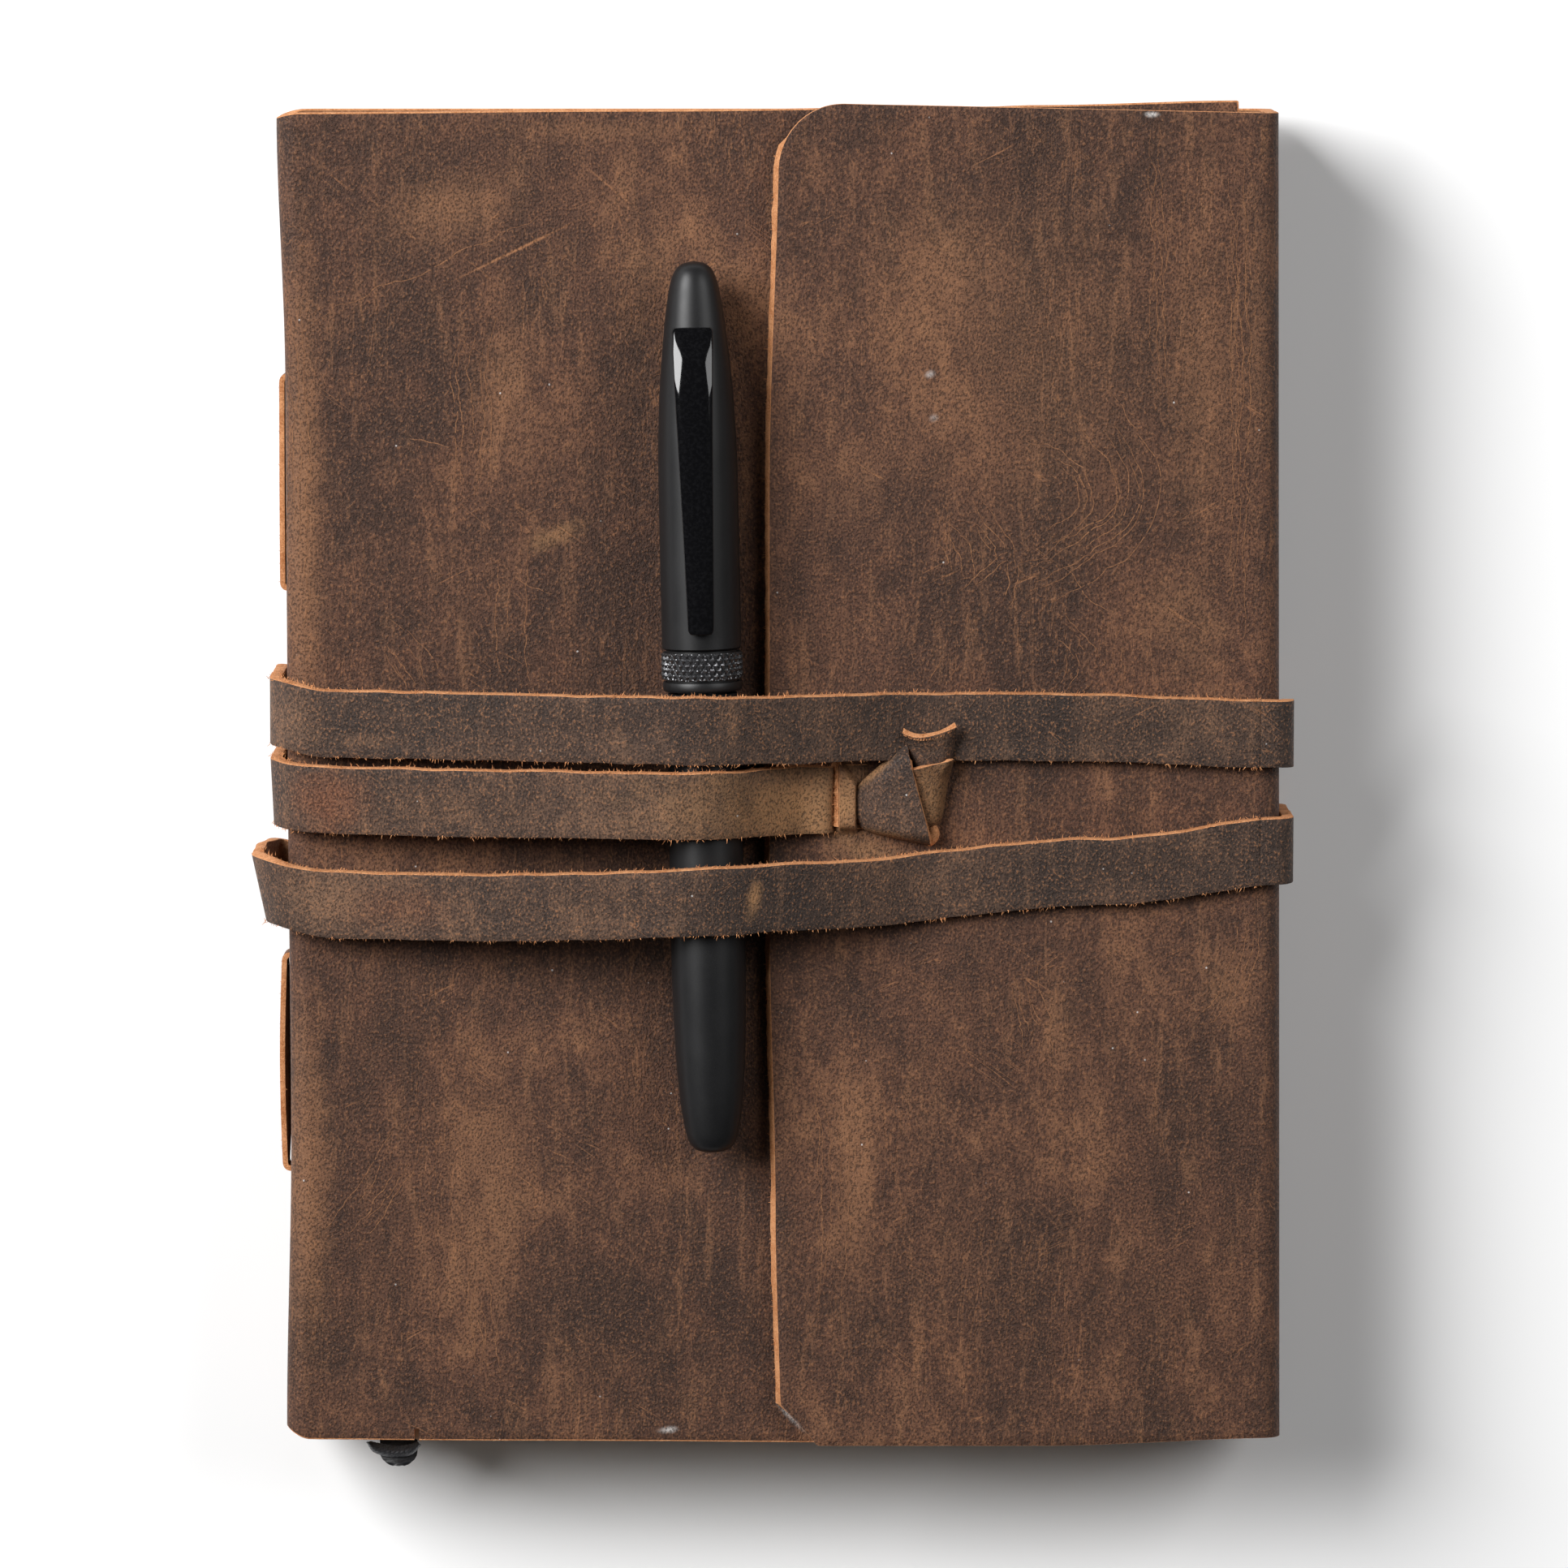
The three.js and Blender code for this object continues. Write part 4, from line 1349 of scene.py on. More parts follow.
@dataclass
class Thong:
    """The long strip wound round the cover, in the pieces that its winding is made of."""

    levels: Levels
    leathers: dict[str, LeatherSet]
    fuzz: bpy.types.Material
    pen_at: Callable[[float], Vector]
    pen_radius: float
    width: float = 10.2
    thickness: float = 1.8
    gap: float = 0.3
    tent_crown: float = 1.0
    side_x: float = 71.9
    front_end_x: float = 72.5
    edge_lift: float = 0.7
    turn_leans: Point = (2.4, 0.9)
    step: float = 0.7
    across: int = 10
    low_z: float = 0.0
    high_z: float = 2.1
    made: list[bpy.types.Object] = field(default_factory=list)

    @property
    def run_z(self) -> float:
        """Middle of a front run where it lies on the flap."""
        return self.levels.flap_top + self.gap + self.thickness / 2

    def runs(self) -> list[Run]:
        """Lists the three front runs."""
        return [
            Run("thong_top_run", "strap_top_run",
                ((-78, 10.4), (-68, 8.9), (-20, 8.75), (0, 8.6), (42, 8.4), (78, 7.3)),
                0.4, self.low_z, self.front_end_x, 21, 0.0, 3),
            Run("thong_middle_run", "strap_middle_run",
                ((-78, -1.8), (-70, -2.65), (-55, -2.8), (-20, -2.7), (9, -2.6)),
                0.05, self.high_z, 7.7, 3.4, 0.5, 4),
            Run("thong_bottom_run", "strap_bottom_run",
                ((-80, -16.4), (-68, -18.5), (-50, -18.6), (8, -16.6), (49, -13.5), (78, -10.3)),
                1.9, self.low_z, self.front_end_x, 21, 2.2, 5),
        ]

    def strip(self, name: str, course: np.ndarray, middle: Callable, leather: LeatherSet, seed: int,
              flare: Callable | None = None, narrow: Callable | None = None) -> bpy.types.Object:
        """Lays one stretch of the thong.

        Args:
            name: the piece's name.
            course: stations of x and z along its middle.
            middle: the middle's Y at an x.
            leather: its finishes.
            seed: seed of its unevenness.
            flare: moves a corner outwards along X, given x, z and the place across.
            narrow: a share of the full width, given x.

        Returns:
            The piece.
        """
        columns = len(course) - 1

        def place(u: np.ndarray, v: np.ndarray) -> np.ndarray:
            """Puts a corner on the strip."""
            index = np.rint(u * columns).astype(int)
            x, z = course[index, 0].copy(), course[index, 1].copy()
            wide = self.width * (narrow(x) if narrow else 1.0)
            side = v - 0.5
            ragged = np.where(np.abs(side) > 0.45, 0.22, 0.0)
            y = middle(x) + side * wide
            y = y + ragged * waves(np.stack([x, side * 30, z], axis=1), 5.5, seed)
            if flare:
                x = x + flare(x, z, side)
            return np.stack([x, y, z], axis=1)

        obj = grid_piece(name, columns, self.across, place)
        points = corners_of(obj)
        lifted = smooth((points[:, 2] - self.levels.front_top) / 3)
        points[:, 2] += lifted * 0.16 * waves(points, 13, seed + 1)
        points[:, 2] += lifted * self.edge_lift * (0.5 + (points[:, 1] - middle(points[:, 0])) / self.width)
        set_corners(obj, points)
        thicken(obj, leather, self.thickness, offset=0, edge=0.14)
        keep_grain(obj, lambda at, way: (way[:, 1] < -0.2) & (way[:, 2] > 0.15))
        near, far = self.front_end_x - 0.3, self.front_end_x + 0.3
        keep_grain(obj, lambda at, way: (at[:, 0] > near) & (at[:, 0] < far) & (at[:, 2] > self.run_z - 1.4))
        remember_rest(obj)
        self.made.append(obj)
        return obj

    def front_run(self, run: Run) -> bpy.types.Object:
        """Builds a front run with the bend round the spine that it grows out of.

        Args:
            run: the run.

        Returns:
            The piece.
        """
        lv, half = self.levels, self.thickness / 2
        out_x = lv.spine_x - run.out - half
        middle = knots(run.course)
        pen = self.pen_at(float(middle(np.array([-12.0]))[0]))
        apex = pen.z + self.pen_radius + self.gap + half + self.tent_crown
        tight = 1.4 if run.back_z > self.low_z else 2.6
        if run.end_x > 20:
            last = [(run.touchdown, self.run_z, 4.0), (run.end_x, self.run_z, 0)]
        else:
            last = [(run.touchdown, self.run_z, 1.6), (7.0, self.run_z, 0.9),
                    (run.end_x, self.run_z - 2.4, 0)]
        course = rounded_course([
            (-self.side_x, run.back_z + half, 0), (out_x, run.back_z + half, tight),
            (out_x, lv.front_top + self.gap + half + 0.4, 6.0), (pen.x, apex, 6.5), *last],
            self.step)

        def flare(x: np.ndarray, z: np.ndarray, side: np.ndarray) -> np.ndarray:
            """Opens the bend towards the head, where the loop stands off the spine."""
            bend = smooth((-x - 66) / 8) * smooth((z - 2) / 8)
            return -run.flare * bend * (side + 0.15)

        def narrow(x: np.ndarray) -> np.ndarray:
            """Rounds the corners where a run goes down through its slit."""
            return np.ones_like(x) if run.end_x > 20 else 1 - 0.06 * smooth((x - 6.6) / 2)

        obj = self.strip(run.piece, course, middle, self.leathers[run.piece], run.seed, flare, narrow)
        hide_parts(run.node)
        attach(obj, "flap")
        return obj

    def back_run(self, name: str, node: str, z: float, ends: Point, end_x: float | None = None) -> None:
        """Builds a flat run across the back.

        Args:
            name: the piece's name.
            node: the CAD node that it stands for.
            z: its lower face.
            ends: its Y at the spine and at the fore edge.
            end_x: where it ends, if short of the fore edge.
        """
        side = self.side_x - self.gap
        right = side if end_x is None else end_x
        half = self.thickness / 2
        course = rounded_course([(right, z + half, 0), (-side, z + half, 0)], 3.0)
        slope = (ends[1] - ends[0]) / (2 * side)
        obj = self.strip(name, course, lambda x: ends[0] + slope * (x + side),
                         self.leathers["thong_back"], 8)
        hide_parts(node)
        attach(obj, "root")

    def fore_edge_turn(self, name: str, node: str, z: float, run: Run, lean: float) -> None:
        """Builds the bend up the fore edge.

        Args:
            name: the piece's name.
            node: the CAD node that it stands for.
            z: lower face of the back run that it comes from.
            run: the front run that it carries on as.
            lean: how far footwards it starts from the run that it becomes.
        """
        half = self.thickness / 2
        out_x = self.levels.fore_x + self.gap + half
        course = rounded_course([
            (self.front_end_x, self.run_z, 0), (out_x, self.run_z, 2.2),
            (out_x, z + half, 1.6), (self.side_x - self.gap + 0.3, z + half, 0)], self.step)
        middle = knots(run.course)
        obj = self.strip(name, course, lambda x: middle(np.minimum(x, 76.8)),
                         self.leathers[run.piece], run.seed)
        points = corners_of(obj)
        points[:, 1] -= lean * np.clip((self.run_z - 1.5 - points[:, 2]) / (self.run_z - 1.5 - z), 0, 1)
        set_corners(obj, points)
        remember_again(obj)
        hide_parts(node)
        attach(obj, "root")
        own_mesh(obj)

    def edge_fibres(self) -> None:
        """Sets fuzz along both raw edges of each front run."""
        draw = np.random.default_rng(5)
        for run in self.runs():
            middle = knots(run.course)
            obj = bpy.data.objects[run.piece]
            points = corners_of(obj)
            shown = points[:, 2] > self.levels.front_top - 8
            y_off = points[:, 1] - middle(points[:, 0])
            roots, leans = [], []
            for side, amount in ((1, 620), (-1, 520)):
                rim = shown & (side * y_off > self.width / 2 - 0.32) & (side * y_off < self.width / 2 + 0.6)
                pool = points[rim]
                picked = pool[draw.integers(0, len(pool), amount if run.end_x > 20 else amount * 6 // 10)]
                picked = picked + draw.normal(0, 0.16, picked.shape) * np.array([1.6, 0.4, 0.8])
                roots.append(picked)
                leans.append(np.tile([0.0, 1.0 * side, 0.1], (len(picked), 1)))
            fuzz = fibres(f"{run.piece}_fibres", np.vstack(roots), np.vstack(leans), (0.3, 1.0), 0.15,
                          run.seed + 20, self.fuzz)
            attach(fuzz, "flap")

    def build(self) -> list[bpy.types.Object]:
        """Builds all the runs, the bends and the fuzz.

        Returns:
            The pieces.
        """
        top, middle, bottom = self.runs()
        upper, lower = self.turn_leans
        for run in (top, middle, bottom):
            self.front_run(run)
        self.back_run("thong_back_run_first", "strap_back_run_first", self.high_z, (-1.8, 7.4 - upper))
        self.back_run("thong_back_run_second", "strap_back_run_second", self.low_z, (10.0, -10.4 - lower))
        self.back_run("thong_back_tail", "strap_back_tail", self.low_z, (-16.2, -13.2), -8.0)
        for which, z, run, lean in (("upper", self.high_z, top, upper), ("lower", self.low_z, bottom, lower)):
            name = f"fore_edge_turn_{which}"
            self.fore_edge_turn(f"thong_{name}", f"strap_{name}", z, run, lean)
        self.edge_fibres()
        return self.made


@dataclass
class Knot:
    """The thong's end: up through the slit, fanned, wrapped over itself, its cut end curling up."""

    levels: Levels
    leathers: dict[str, LeatherSet]
    fuzz: bpy.types.Material

    def lobe(self, name: str, left: Sequence[Point], right: Sequence[Point], height: Placer,
             leather: LeatherSet, node: str, columns: int = 36, rows: int = 44,
             thickness: float = 0.95) -> bpy.types.Object:
        """Stretches a sheet between two outlines.

        Args:
            name: the piece's name.
            left: points up its left outline.
            right: points up its right outline.
            height: its Z for the place across and up.
            leather: its finishes.
            node: the CAD node that it stands for.
            columns: faces across.
            rows: faces up.
            thickness: of the leather here.

        Returns:
            The piece.
        """
        low, high = curve_through(left, rows + 1), curve_through(right, rows + 1)

        def place(u: np.ndarray, v: np.ndarray) -> np.ndarray:
            """Puts a corner between the two outlines."""
            row = np.rint(v * rows).astype(int)
            flat = low[row] * (1 - u[:, None]) + high[row] * u[:, None]
            return np.column_stack([flat, height(u, v)])

        obj = grid_piece(name, columns, rows, place)
        points = corners_of(obj)
        points[:, 2] += 0.10 * waves(points, 2.6, 9)
        set_corners(obj, points)
        thicken(obj, leather, thickness, edge=0.12)
        remember_rest(obj)
        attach(standing_for(obj, node), "flap")
        return obj

    def build(self) -> list[bpy.types.Object]:
        """Builds the tuck, the fan, the wrap, the end, the roll and their fuzz.

        Returns:
            The pieces.
        """
        lv, floor = self.levels, self.levels.flap_top

        def fan_height(u: np.ndarray, v: np.ndarray) -> np.ndarray:
            """Swells out of the slit, rolls under at the foot and stands highest at its cut edge."""
            rise = 0.66 * (1 - (1 - u) ** 4.0) + 0.34 * u**1.2
            under = np.sqrt(1 - (1 - np.clip(v / 0.20, 0, 1)) ** 2)
            base = 0.15 + 0.9 * smooth(v / 0.15) + 1.9 * smooth((v - 0.5) / 0.35)
            crest = 4.3 + 0.7 * v - 1.5 * smooth((v - 0.86) / 0.14)
            return floor + base * (1 - rise) + crest * rise * (0.12 + 0.88 * under)

        fan = self.lobe(
            "knot_fan",
            [(13.9, -8.0), (12.5, -7.1), (11.5, -5.6), (11.0, -3.6), (11.3, -1.6), (12.4, 0.2),
             (14.6, 2.3), (17.0, 4.3), (19.0, 5.9)],
            [(22.8, -9.8), (22.45, -8.0), (22.1, -6.3), (21.4, -3.6), (20.7, -1.0), (20.1, 1.4),
             (19.6, 3.5), (19.3, 5.4)],
            fan_height, self.leathers["knot_fan"], "strap_knot_fold")
        keep_grain(fan, lambda at, way: way[:, 0] < 0.45)

        def wrap_height(u: np.ndarray, v: np.ndarray) -> np.ndarray:
            """Rolls over towards its folded right side and curls up at its cut top."""
            roll = np.sqrt(np.clip(1 - (0.985 * u) ** 3.0, 0, 1))
            curl = 1.6 * smooth((v - 0.70) / 0.30) * smooth((u - 0.55) / 0.45)
            under = np.sqrt(1 - (1 - np.clip(v / 0.16, 0, 1)) ** 2)
            return floor + 0.3 + (2.5 + 1.7 * v) * roll * (0.2 + 0.8 * under) + curl

        wrap = self.lobe(
            "knot_wrap",
            [(21.6, -7.2), (21.2, -4.6), (20.4, -1.6), (19.8, 0.8), (19.6, 2.0)],
            [(23.6, -6.9), (24.6, -5.2), (25.0, -2.6), (25.6, 0.6), (26.3, 3.6)],
            wrap_height, self.leathers["knot_wrap"], "strap_knot_wrap", 30, 36)
        keep_grain(wrap, lambda at, way: way[:, 1] < 0.5)

        def end_height(u: np.ndarray, v: np.ndarray) -> np.ndarray:
            """Comes out from under the fan, lies on the top run and curls up towards its cut end."""
            sides = np.abs(2 * u - 1) ** 3.2
            rise = 0.55 * smooth(v / 0.4)
            return floor + 3.2 + rise + 0.9 * v**2 - (1.4 - 1.1 * v**3) * sides + 0.4 * v * u

        end = self.lobe(
            "knot_cut_end",
            [(20.3, 0.6), (19.9, 2.7), (19.3, 4.8), (18.8, 6.5), (18.4, 7.6)],
            [(25.7, 1.2), (26.0, 3.2), (26.3, 5.2), (26.5, 6.9), (26.7, 8.6)],
            end_height, self.leathers["knot_end"], "strap_end", 32, 24, 1.35)
        keep_grain(end, lambda at, way: way[:, 1] < 0.55)
        points = corners_of(end)
        share = np.clip((points[:, 0] - 18.5) / 8, 0, 1)
        upper = smooth((points[:, 1] - 3.5) / 4)
        points[:, 1] -= 0.9 * upper * np.sin(np.pi * share**0.75)
        set_corners(end, points)
        remember_again(end)

        tuck = self.lobe(
            "knot_tuck", [(7.2, -7.2), (7.2, 2.6)], [(14.6, -7.2), (14.6, 2.6)],
            lambda u, v: lv.front_top + 2.2 + 0.9 * np.sin(np.pi * u), self.leathers["knot_wrap"],
            "strap_tuck", 14, 14)

        deselect()
        bpy.ops.mesh.primitive_uv_sphere_add(segments=20, ring_count=12, radius=1)
        roll = named("knot_roll")
        ball = corners_of(roll) * MM
        along = ball[:, 1]
        points = ball * np.array([0.95, 1.75, 1.0]) + np.array([23.2, -8.0, floor + 1.4])
        points[:, 0] += 0.25 * along - 0.35 * along**2
        points += 0.12 * waves(points, 0.8, 4)[:, None]
        set_corners(roll, points)
        roll.data.materials.append(self.leathers["knot_fan"].edge)
        soften(roll, 80)
        remember_rest(roll)
        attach(roll, "flap")

        self.fuzz_along("knot_fan_fibres",
                        [(22.6, -9.0), (22.2, -6.4), (21.5, -3.6), (20.8, -1.0), (20.2, 1.4)],
                        (floor + 2.0, floor + 3.3), (0.9, 0.1, 0.25), 190, 31)
        self.fuzz_along("knot_end_fibres", [(18.6, 7.4), (20.3, 6.75), (22.2, 6.7), (24.2, 7.2), (26.5, 8.4)],
                        (floor + 3.9, floor + 5.2), (0, 1, 0.4), 190, 32)
        self.fuzz_along("knot_wrap_fibres", [(20.4, 2.0), (23.0, 2.3), (25.0, 2.8), (26.2, 3.5)],
                        (floor + 1.6, floor + 3.0), (0, 1, 0.3), 60, 33)
        return [fan, wrap, end, tuck, roll]

    def fuzz_along(self, name: str, line: Sequence[Point], z: Point, lean: Sequence[float],
                   count: int, seed: int) -> None:
        """Sets fuzz along a cut edge of the knot.

        Args:
            name: the piece's name.
            line: points along the edge.
            z: lowest and highest root.
            lean: which way the fibres point.
            count: how many.
            seed: seed of the scatter.
        """
        draw = np.random.default_rng(seed)
        course = curve_through(line, 200)
        flat = course[draw.integers(0, len(course), count)]
        roots = np.column_stack([flat, draw.uniform(*z, count)])
        leans = np.tile(np.array(lean, float), (count, 1))
        made = fibres(name, roots, leans, (0.2, 0.7), 0.12, seed, self.fuzz)
        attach(made, "flap")


# ---- Laces, refill and ribbon --------------------------------------------------------------


@dataclass
class Laces:
    """The two loops of lace that hold the refill to the spine."""

    leather: LeatherSet
    fuzz: bpy.types.Material
    nodes: tuple[str, str] = ("spine_lace_upper", "spine_lace_lower")
    thickness: float = 0.8
    belly: float = 0.4
    close: float = 0.75
    lean: float = 0.9

    def loops(self) -> list[tuple[Vector, Vector]]:
        """Reads the corners of each loop."""
        return [box_mm(node) for node in self.nodes]

    def build(self) -> list[bpy.types.Object]:
        """Builds both loops.

        Returns:
            The pieces.
        """
        made = []
        for number, (node, (low, high)) in enumerate(zip(self.nodes, self.loops())):
            half = self.thickness / 2
            left, right = low.x + half + self.close, high.x - half
            foot, head = low.y + half, high.y - half
            middle = (low.x + high.x) / 2
            line = rounded_course([
                (middle, foot, 0), (left, foot, 1.0), (left, head, 1.0), (right, head, 0.5),
                (right, foot, 0.5), (middle, foot, 0)], 0.8)
            columns = len(line) - 1

            def place(u: np.ndarray, v: np.ndarray) -> np.ndarray:
                """Puts a corner on the loop."""
                index = np.rint(u * columns).astype(int)
                x, y = line[index, 0].copy(), line[index, 1]
                outside = x < middle
                share = np.clip((y - foot) / (head - foot), 0, 1)
                bulge = self.belly * (0.1 + 0.9 * number) - self.lean * smooth(v / 0.8)
                x -= outside * bulge * np.sin(np.pi * share)
                z = low.z + (high.z - low.z) * (1 - v)
                return np.stack([x, y, z], axis=1)

            obj = grid_piece(f"lace_{('upper', 'lower')[number]}", columns, 6, place)
            close_loop(obj)
            thicken(obj, self.leather, self.thickness, offset=0, edge=0.2)
            keep_grain(obj, lambda at, way: way[:, 0] < -0.3)
            remember_rest(obj)
            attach(standing_for(obj, node), "root")
            made.append(obj)
            draw = np.random.default_rng(60 + number)
            count = 160
            y = draw.uniform(foot + 1, head - 1, count)
            x = left - self.belly * (0.1 + 0.9 * number) * np.sin(np.pi * (y - foot) / (head - foot))
            roots = np.stack([x + draw.uniform(-half, half, count), y, np.full(count, high.z - 0.1)], axis=1)
            fuzz = fibres(f"lace_{('upper', 'lower')[number]}_fibres", roots,
                          np.tile([-0.5, 0.0, 1.0], (count, 1)), (0.2, 0.7), 0.12, 70 + number, self.fuzz)
            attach(fuzz, "root")
        return made


@dataclass
class Refill:
    """The paper refill: signatures of separate leaves between kraft cards."""

    paper: bpy.types.Material
    card: bpy.types.Material
    signatures: int = 5
    leaves: int = 26
    uneven: float = 0.18

    def signature(self, number: int) -> bpy.types.Object:
        """Builds one signature as a stack of leaves.

        Args:
            number: which one, from 1 at the back.

        Returns:
            The piece.
        """
        node = f"page_signature_{number}"
        low, high = box_mm(node)
        pitch = (high.z - low.z) / self.leaves
        size = np.array([high.x - low.x, high.y - low.y, pitch * 0.86])
        leaf = box_piece("leaf", -size / 2, size / 2)
        draw = np.random.default_rng(100 + number)
        inwards = draw.uniform(0, self.uneven, (self.leaves, 3)) * np.array([1, 1, 0])
        sizes = 1 - inwards / size
        middles = np.tile((np.array(low) + np.array(high)) / 2, (self.leaves, 1))
        middles[:, 2] = low.z + pitch * (np.arange(self.leaves) + 0.5)
        middles[:, 0] -= inwards[:, 0] / 2
        middles[:, 1] += draw.uniform(-0.5, 0.5, self.leaves) * inwards[:, 1]
        obj = copies(f"leaves_{number}", leaf, middles, np.tile(np.eye(3), (self.leaves, 1, 1)), sizes)
        obj.data.materials.append(self.paper)
        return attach(standing_for(obj, node), "root")

    def board(self, name: str, node: str, body: str, corner: float) -> bpy.types.Object:
        """Builds one card with rounded corners and soft edges.

        Args:
            name: the piece's name.
            node: the CAD node that it stands for.
            body: the body that it rides on.
            corner: radius of its corners.

        Returns:
            The piece.
        """
        low, high = box_mm(node)
        obj = box_piece(name, low, high)
        take(obj)
        bpy.ops.object.mode_set(mode="EDIT")
        bpy.ops.mesh.select_all(action="DESELECT")
        bpy.ops.object.mode_set(mode="OBJECT")
        for edge in obj.data.edges:
            ends = [obj.data.vertices[index].co for index in edge.vertices]
            edge.select = abs(ends[0].z - ends[1].z) > 1e-5 and min(e.x for e in ends) > low.x * MM + 1e-4
        bpy.ops.object.mode_set(mode="EDIT")
        bpy.ops.mesh.select_mode(type="EDGE")
        bpy.ops.mesh.bevel(offset=corner * MM, segments=6)
        bpy.ops.object.mode_set(mode="OBJECT")
        apply_modifier(obj, "BEVEL", width=0.12 * MM, segments=2, limit_method="ANGLE",
                       angle_limit=math.radians(60))
        soften(obj)
        obj.data.materials.append(self.card)
        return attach(standing_for(obj, node), body)

    def build(self) -> list[bpy.types.Object]:
        """Builds the signatures and the cards.

        Returns:
            The pieces.
        """
        made = [self.signature(number) for number in range(1, self.signatures + 1)]
        made.append(self.board("card_back", "refill_back_card", "root", 2.5))
        made.append(self.board("card_front", "refill_front_card", "refill_cover", 2.5))
        low, high = box_mm("refill_spine_card")
        spine = box_piece("card_spine", low, high)
        apply_modifier(spine, "BEVEL", width=0.12 * MM, segments=2, limit_method="ANGLE",
                       angle_limit=math.radians(60))
        soften(spine)
        spine.data.materials.append(self.card)
        made.append(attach(standing_for(spine, "refill_spine_card"), "root"))
        return made


@dataclass
class Ribbon:
    """The grosgrain marker, with its end folded back, and the paper corner beside it."""

    ribbon: bpy.types.Material
    # The folded end's finish: the ribbon's black lightened by painted sheen.
    fold: bpy.types.Material
    paper: bpy.types.Material
    rib: float = 0.55
    thickness: float = 0.28
    middle_x: float = -58.5
    width: float = 5.7
    fold_steps: int = 90
    fold_ribs: int = 15

    def build(self) -> list[bpy.types.Object]:
        """Builds the ribbon and its folded end.

        Returns:
            The pieces.
        """
        low, high = box_mm("ribbon_marker")
        z = (low.z + high.z) / 2
        course = rounded_course([(high.y, z, 0), (low.y + 1.4, z, 1.0), (low.y - 1.1, z + 0.9, 0)], 0.22)
        columns = len(course) - 1

        def place(u: np.ndarray, v: np.ndarray) -> np.ndarray:
            """Puts a corner on the ribbon's long run, whose end turns up in a round lobe."""
            index = np.rint(u * columns).astype(int)
            y, height = course[index, 0], course[index, 1].copy()
            out = smooth((low.y + 6 - y) / 4)
            tip = np.clip((low.y + 0.9 - y) / 2.1, 0, 0.98)
            x = self.middle_x + (0.5 - v) * self.width * np.sqrt(1 - tip**2)
            height += 0.05 * np.sin(2 * np.pi * y / self.rib) + out * 0.35 * np.sin(np.pi * v)
            return np.stack([x, y, height], axis=1)

        run = grid_piece("ribbon_run", columns, 12, place)
        self.dress(run, self.ribbon, "ribbon_marker")

        steps = self.fold_steps
        foot = curve_through(
            [(-63.3, -102.7), (-62.2, -104.3), (-59.5, -105.1), (-56.6, -104.7), (-55.1, -103.1)], steps)
        head = curve_through(
            [(-62.9, -102.7), (-61.2, -103.1), (-58.8, -103.5), (-56.6, -103.2), (-55.5, -102.7)], steps)

        def fold_place(u: np.ndarray, v: np.ndarray) -> np.ndarray:
            """Puts a corner on the end that is folded back over the run, across its ribs."""
            index = np.rint(u * (steps - 1)).astype(int)
            flat = head[index] * (1 - v[:, None]) + foot[index] * v[:, None]
            ends = (2 * u - 1) ** 2
            ribs = 0.07 * np.sin(2 * np.pi * self.fold_ribs * (u + 0.12 * v))
            height = z + 1.2 + 0.7 * np.sin(np.pi * v) + 0.5 * ends + ribs
            return np.column_stack([flat, height])

        fold = grid_piece("ribbon_folded_end", steps - 1, 10, fold_place)
        # The folded end takes the lighter finish, whose grey is painted sheen.
        self.dress(fold, self.fold)
        made = [run, fold]
        under = box_mm("front_panel")[0].z
        for name, low_corner, high_corner, body in (
            ("paper_corner", (-63.7, -102.9, z - 0.7), (-61.2, -97.0, z - 0.55), "root"),
            ("paper_sliver", (-56.0, -101.8, under - 0.3), (-54.7, -98.0, under - 0.15), "refill_cover"),
        ):
            paper = box_piece(name, low_corner, high_corner)
            points = corners_of(paper)
            points[:, 1] -= 0.5 * (points[:, 0] - high_corner[0]) * (points[:, 1] < -101)
            set_corners(paper, points)
            paper.data.materials.append(self.paper)
            made.append(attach(paper, body))
        return made

    def dress(self, obj: bpy.types.Object, finish: bpy.types.Material, node: str | None = None) -> None:
        """Thickens, paints and places a stretch of ribbon."""
        apply_modifier(obj, "SOLIDIFY", thickness=self.thickness * MM, offset=0)
        soften(obj, 50)
        obj.data.materials.append(finish)
        if node:
            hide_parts(node)
        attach(obj, "root")


# ---- The pen ------------------------------------------------------------------------------


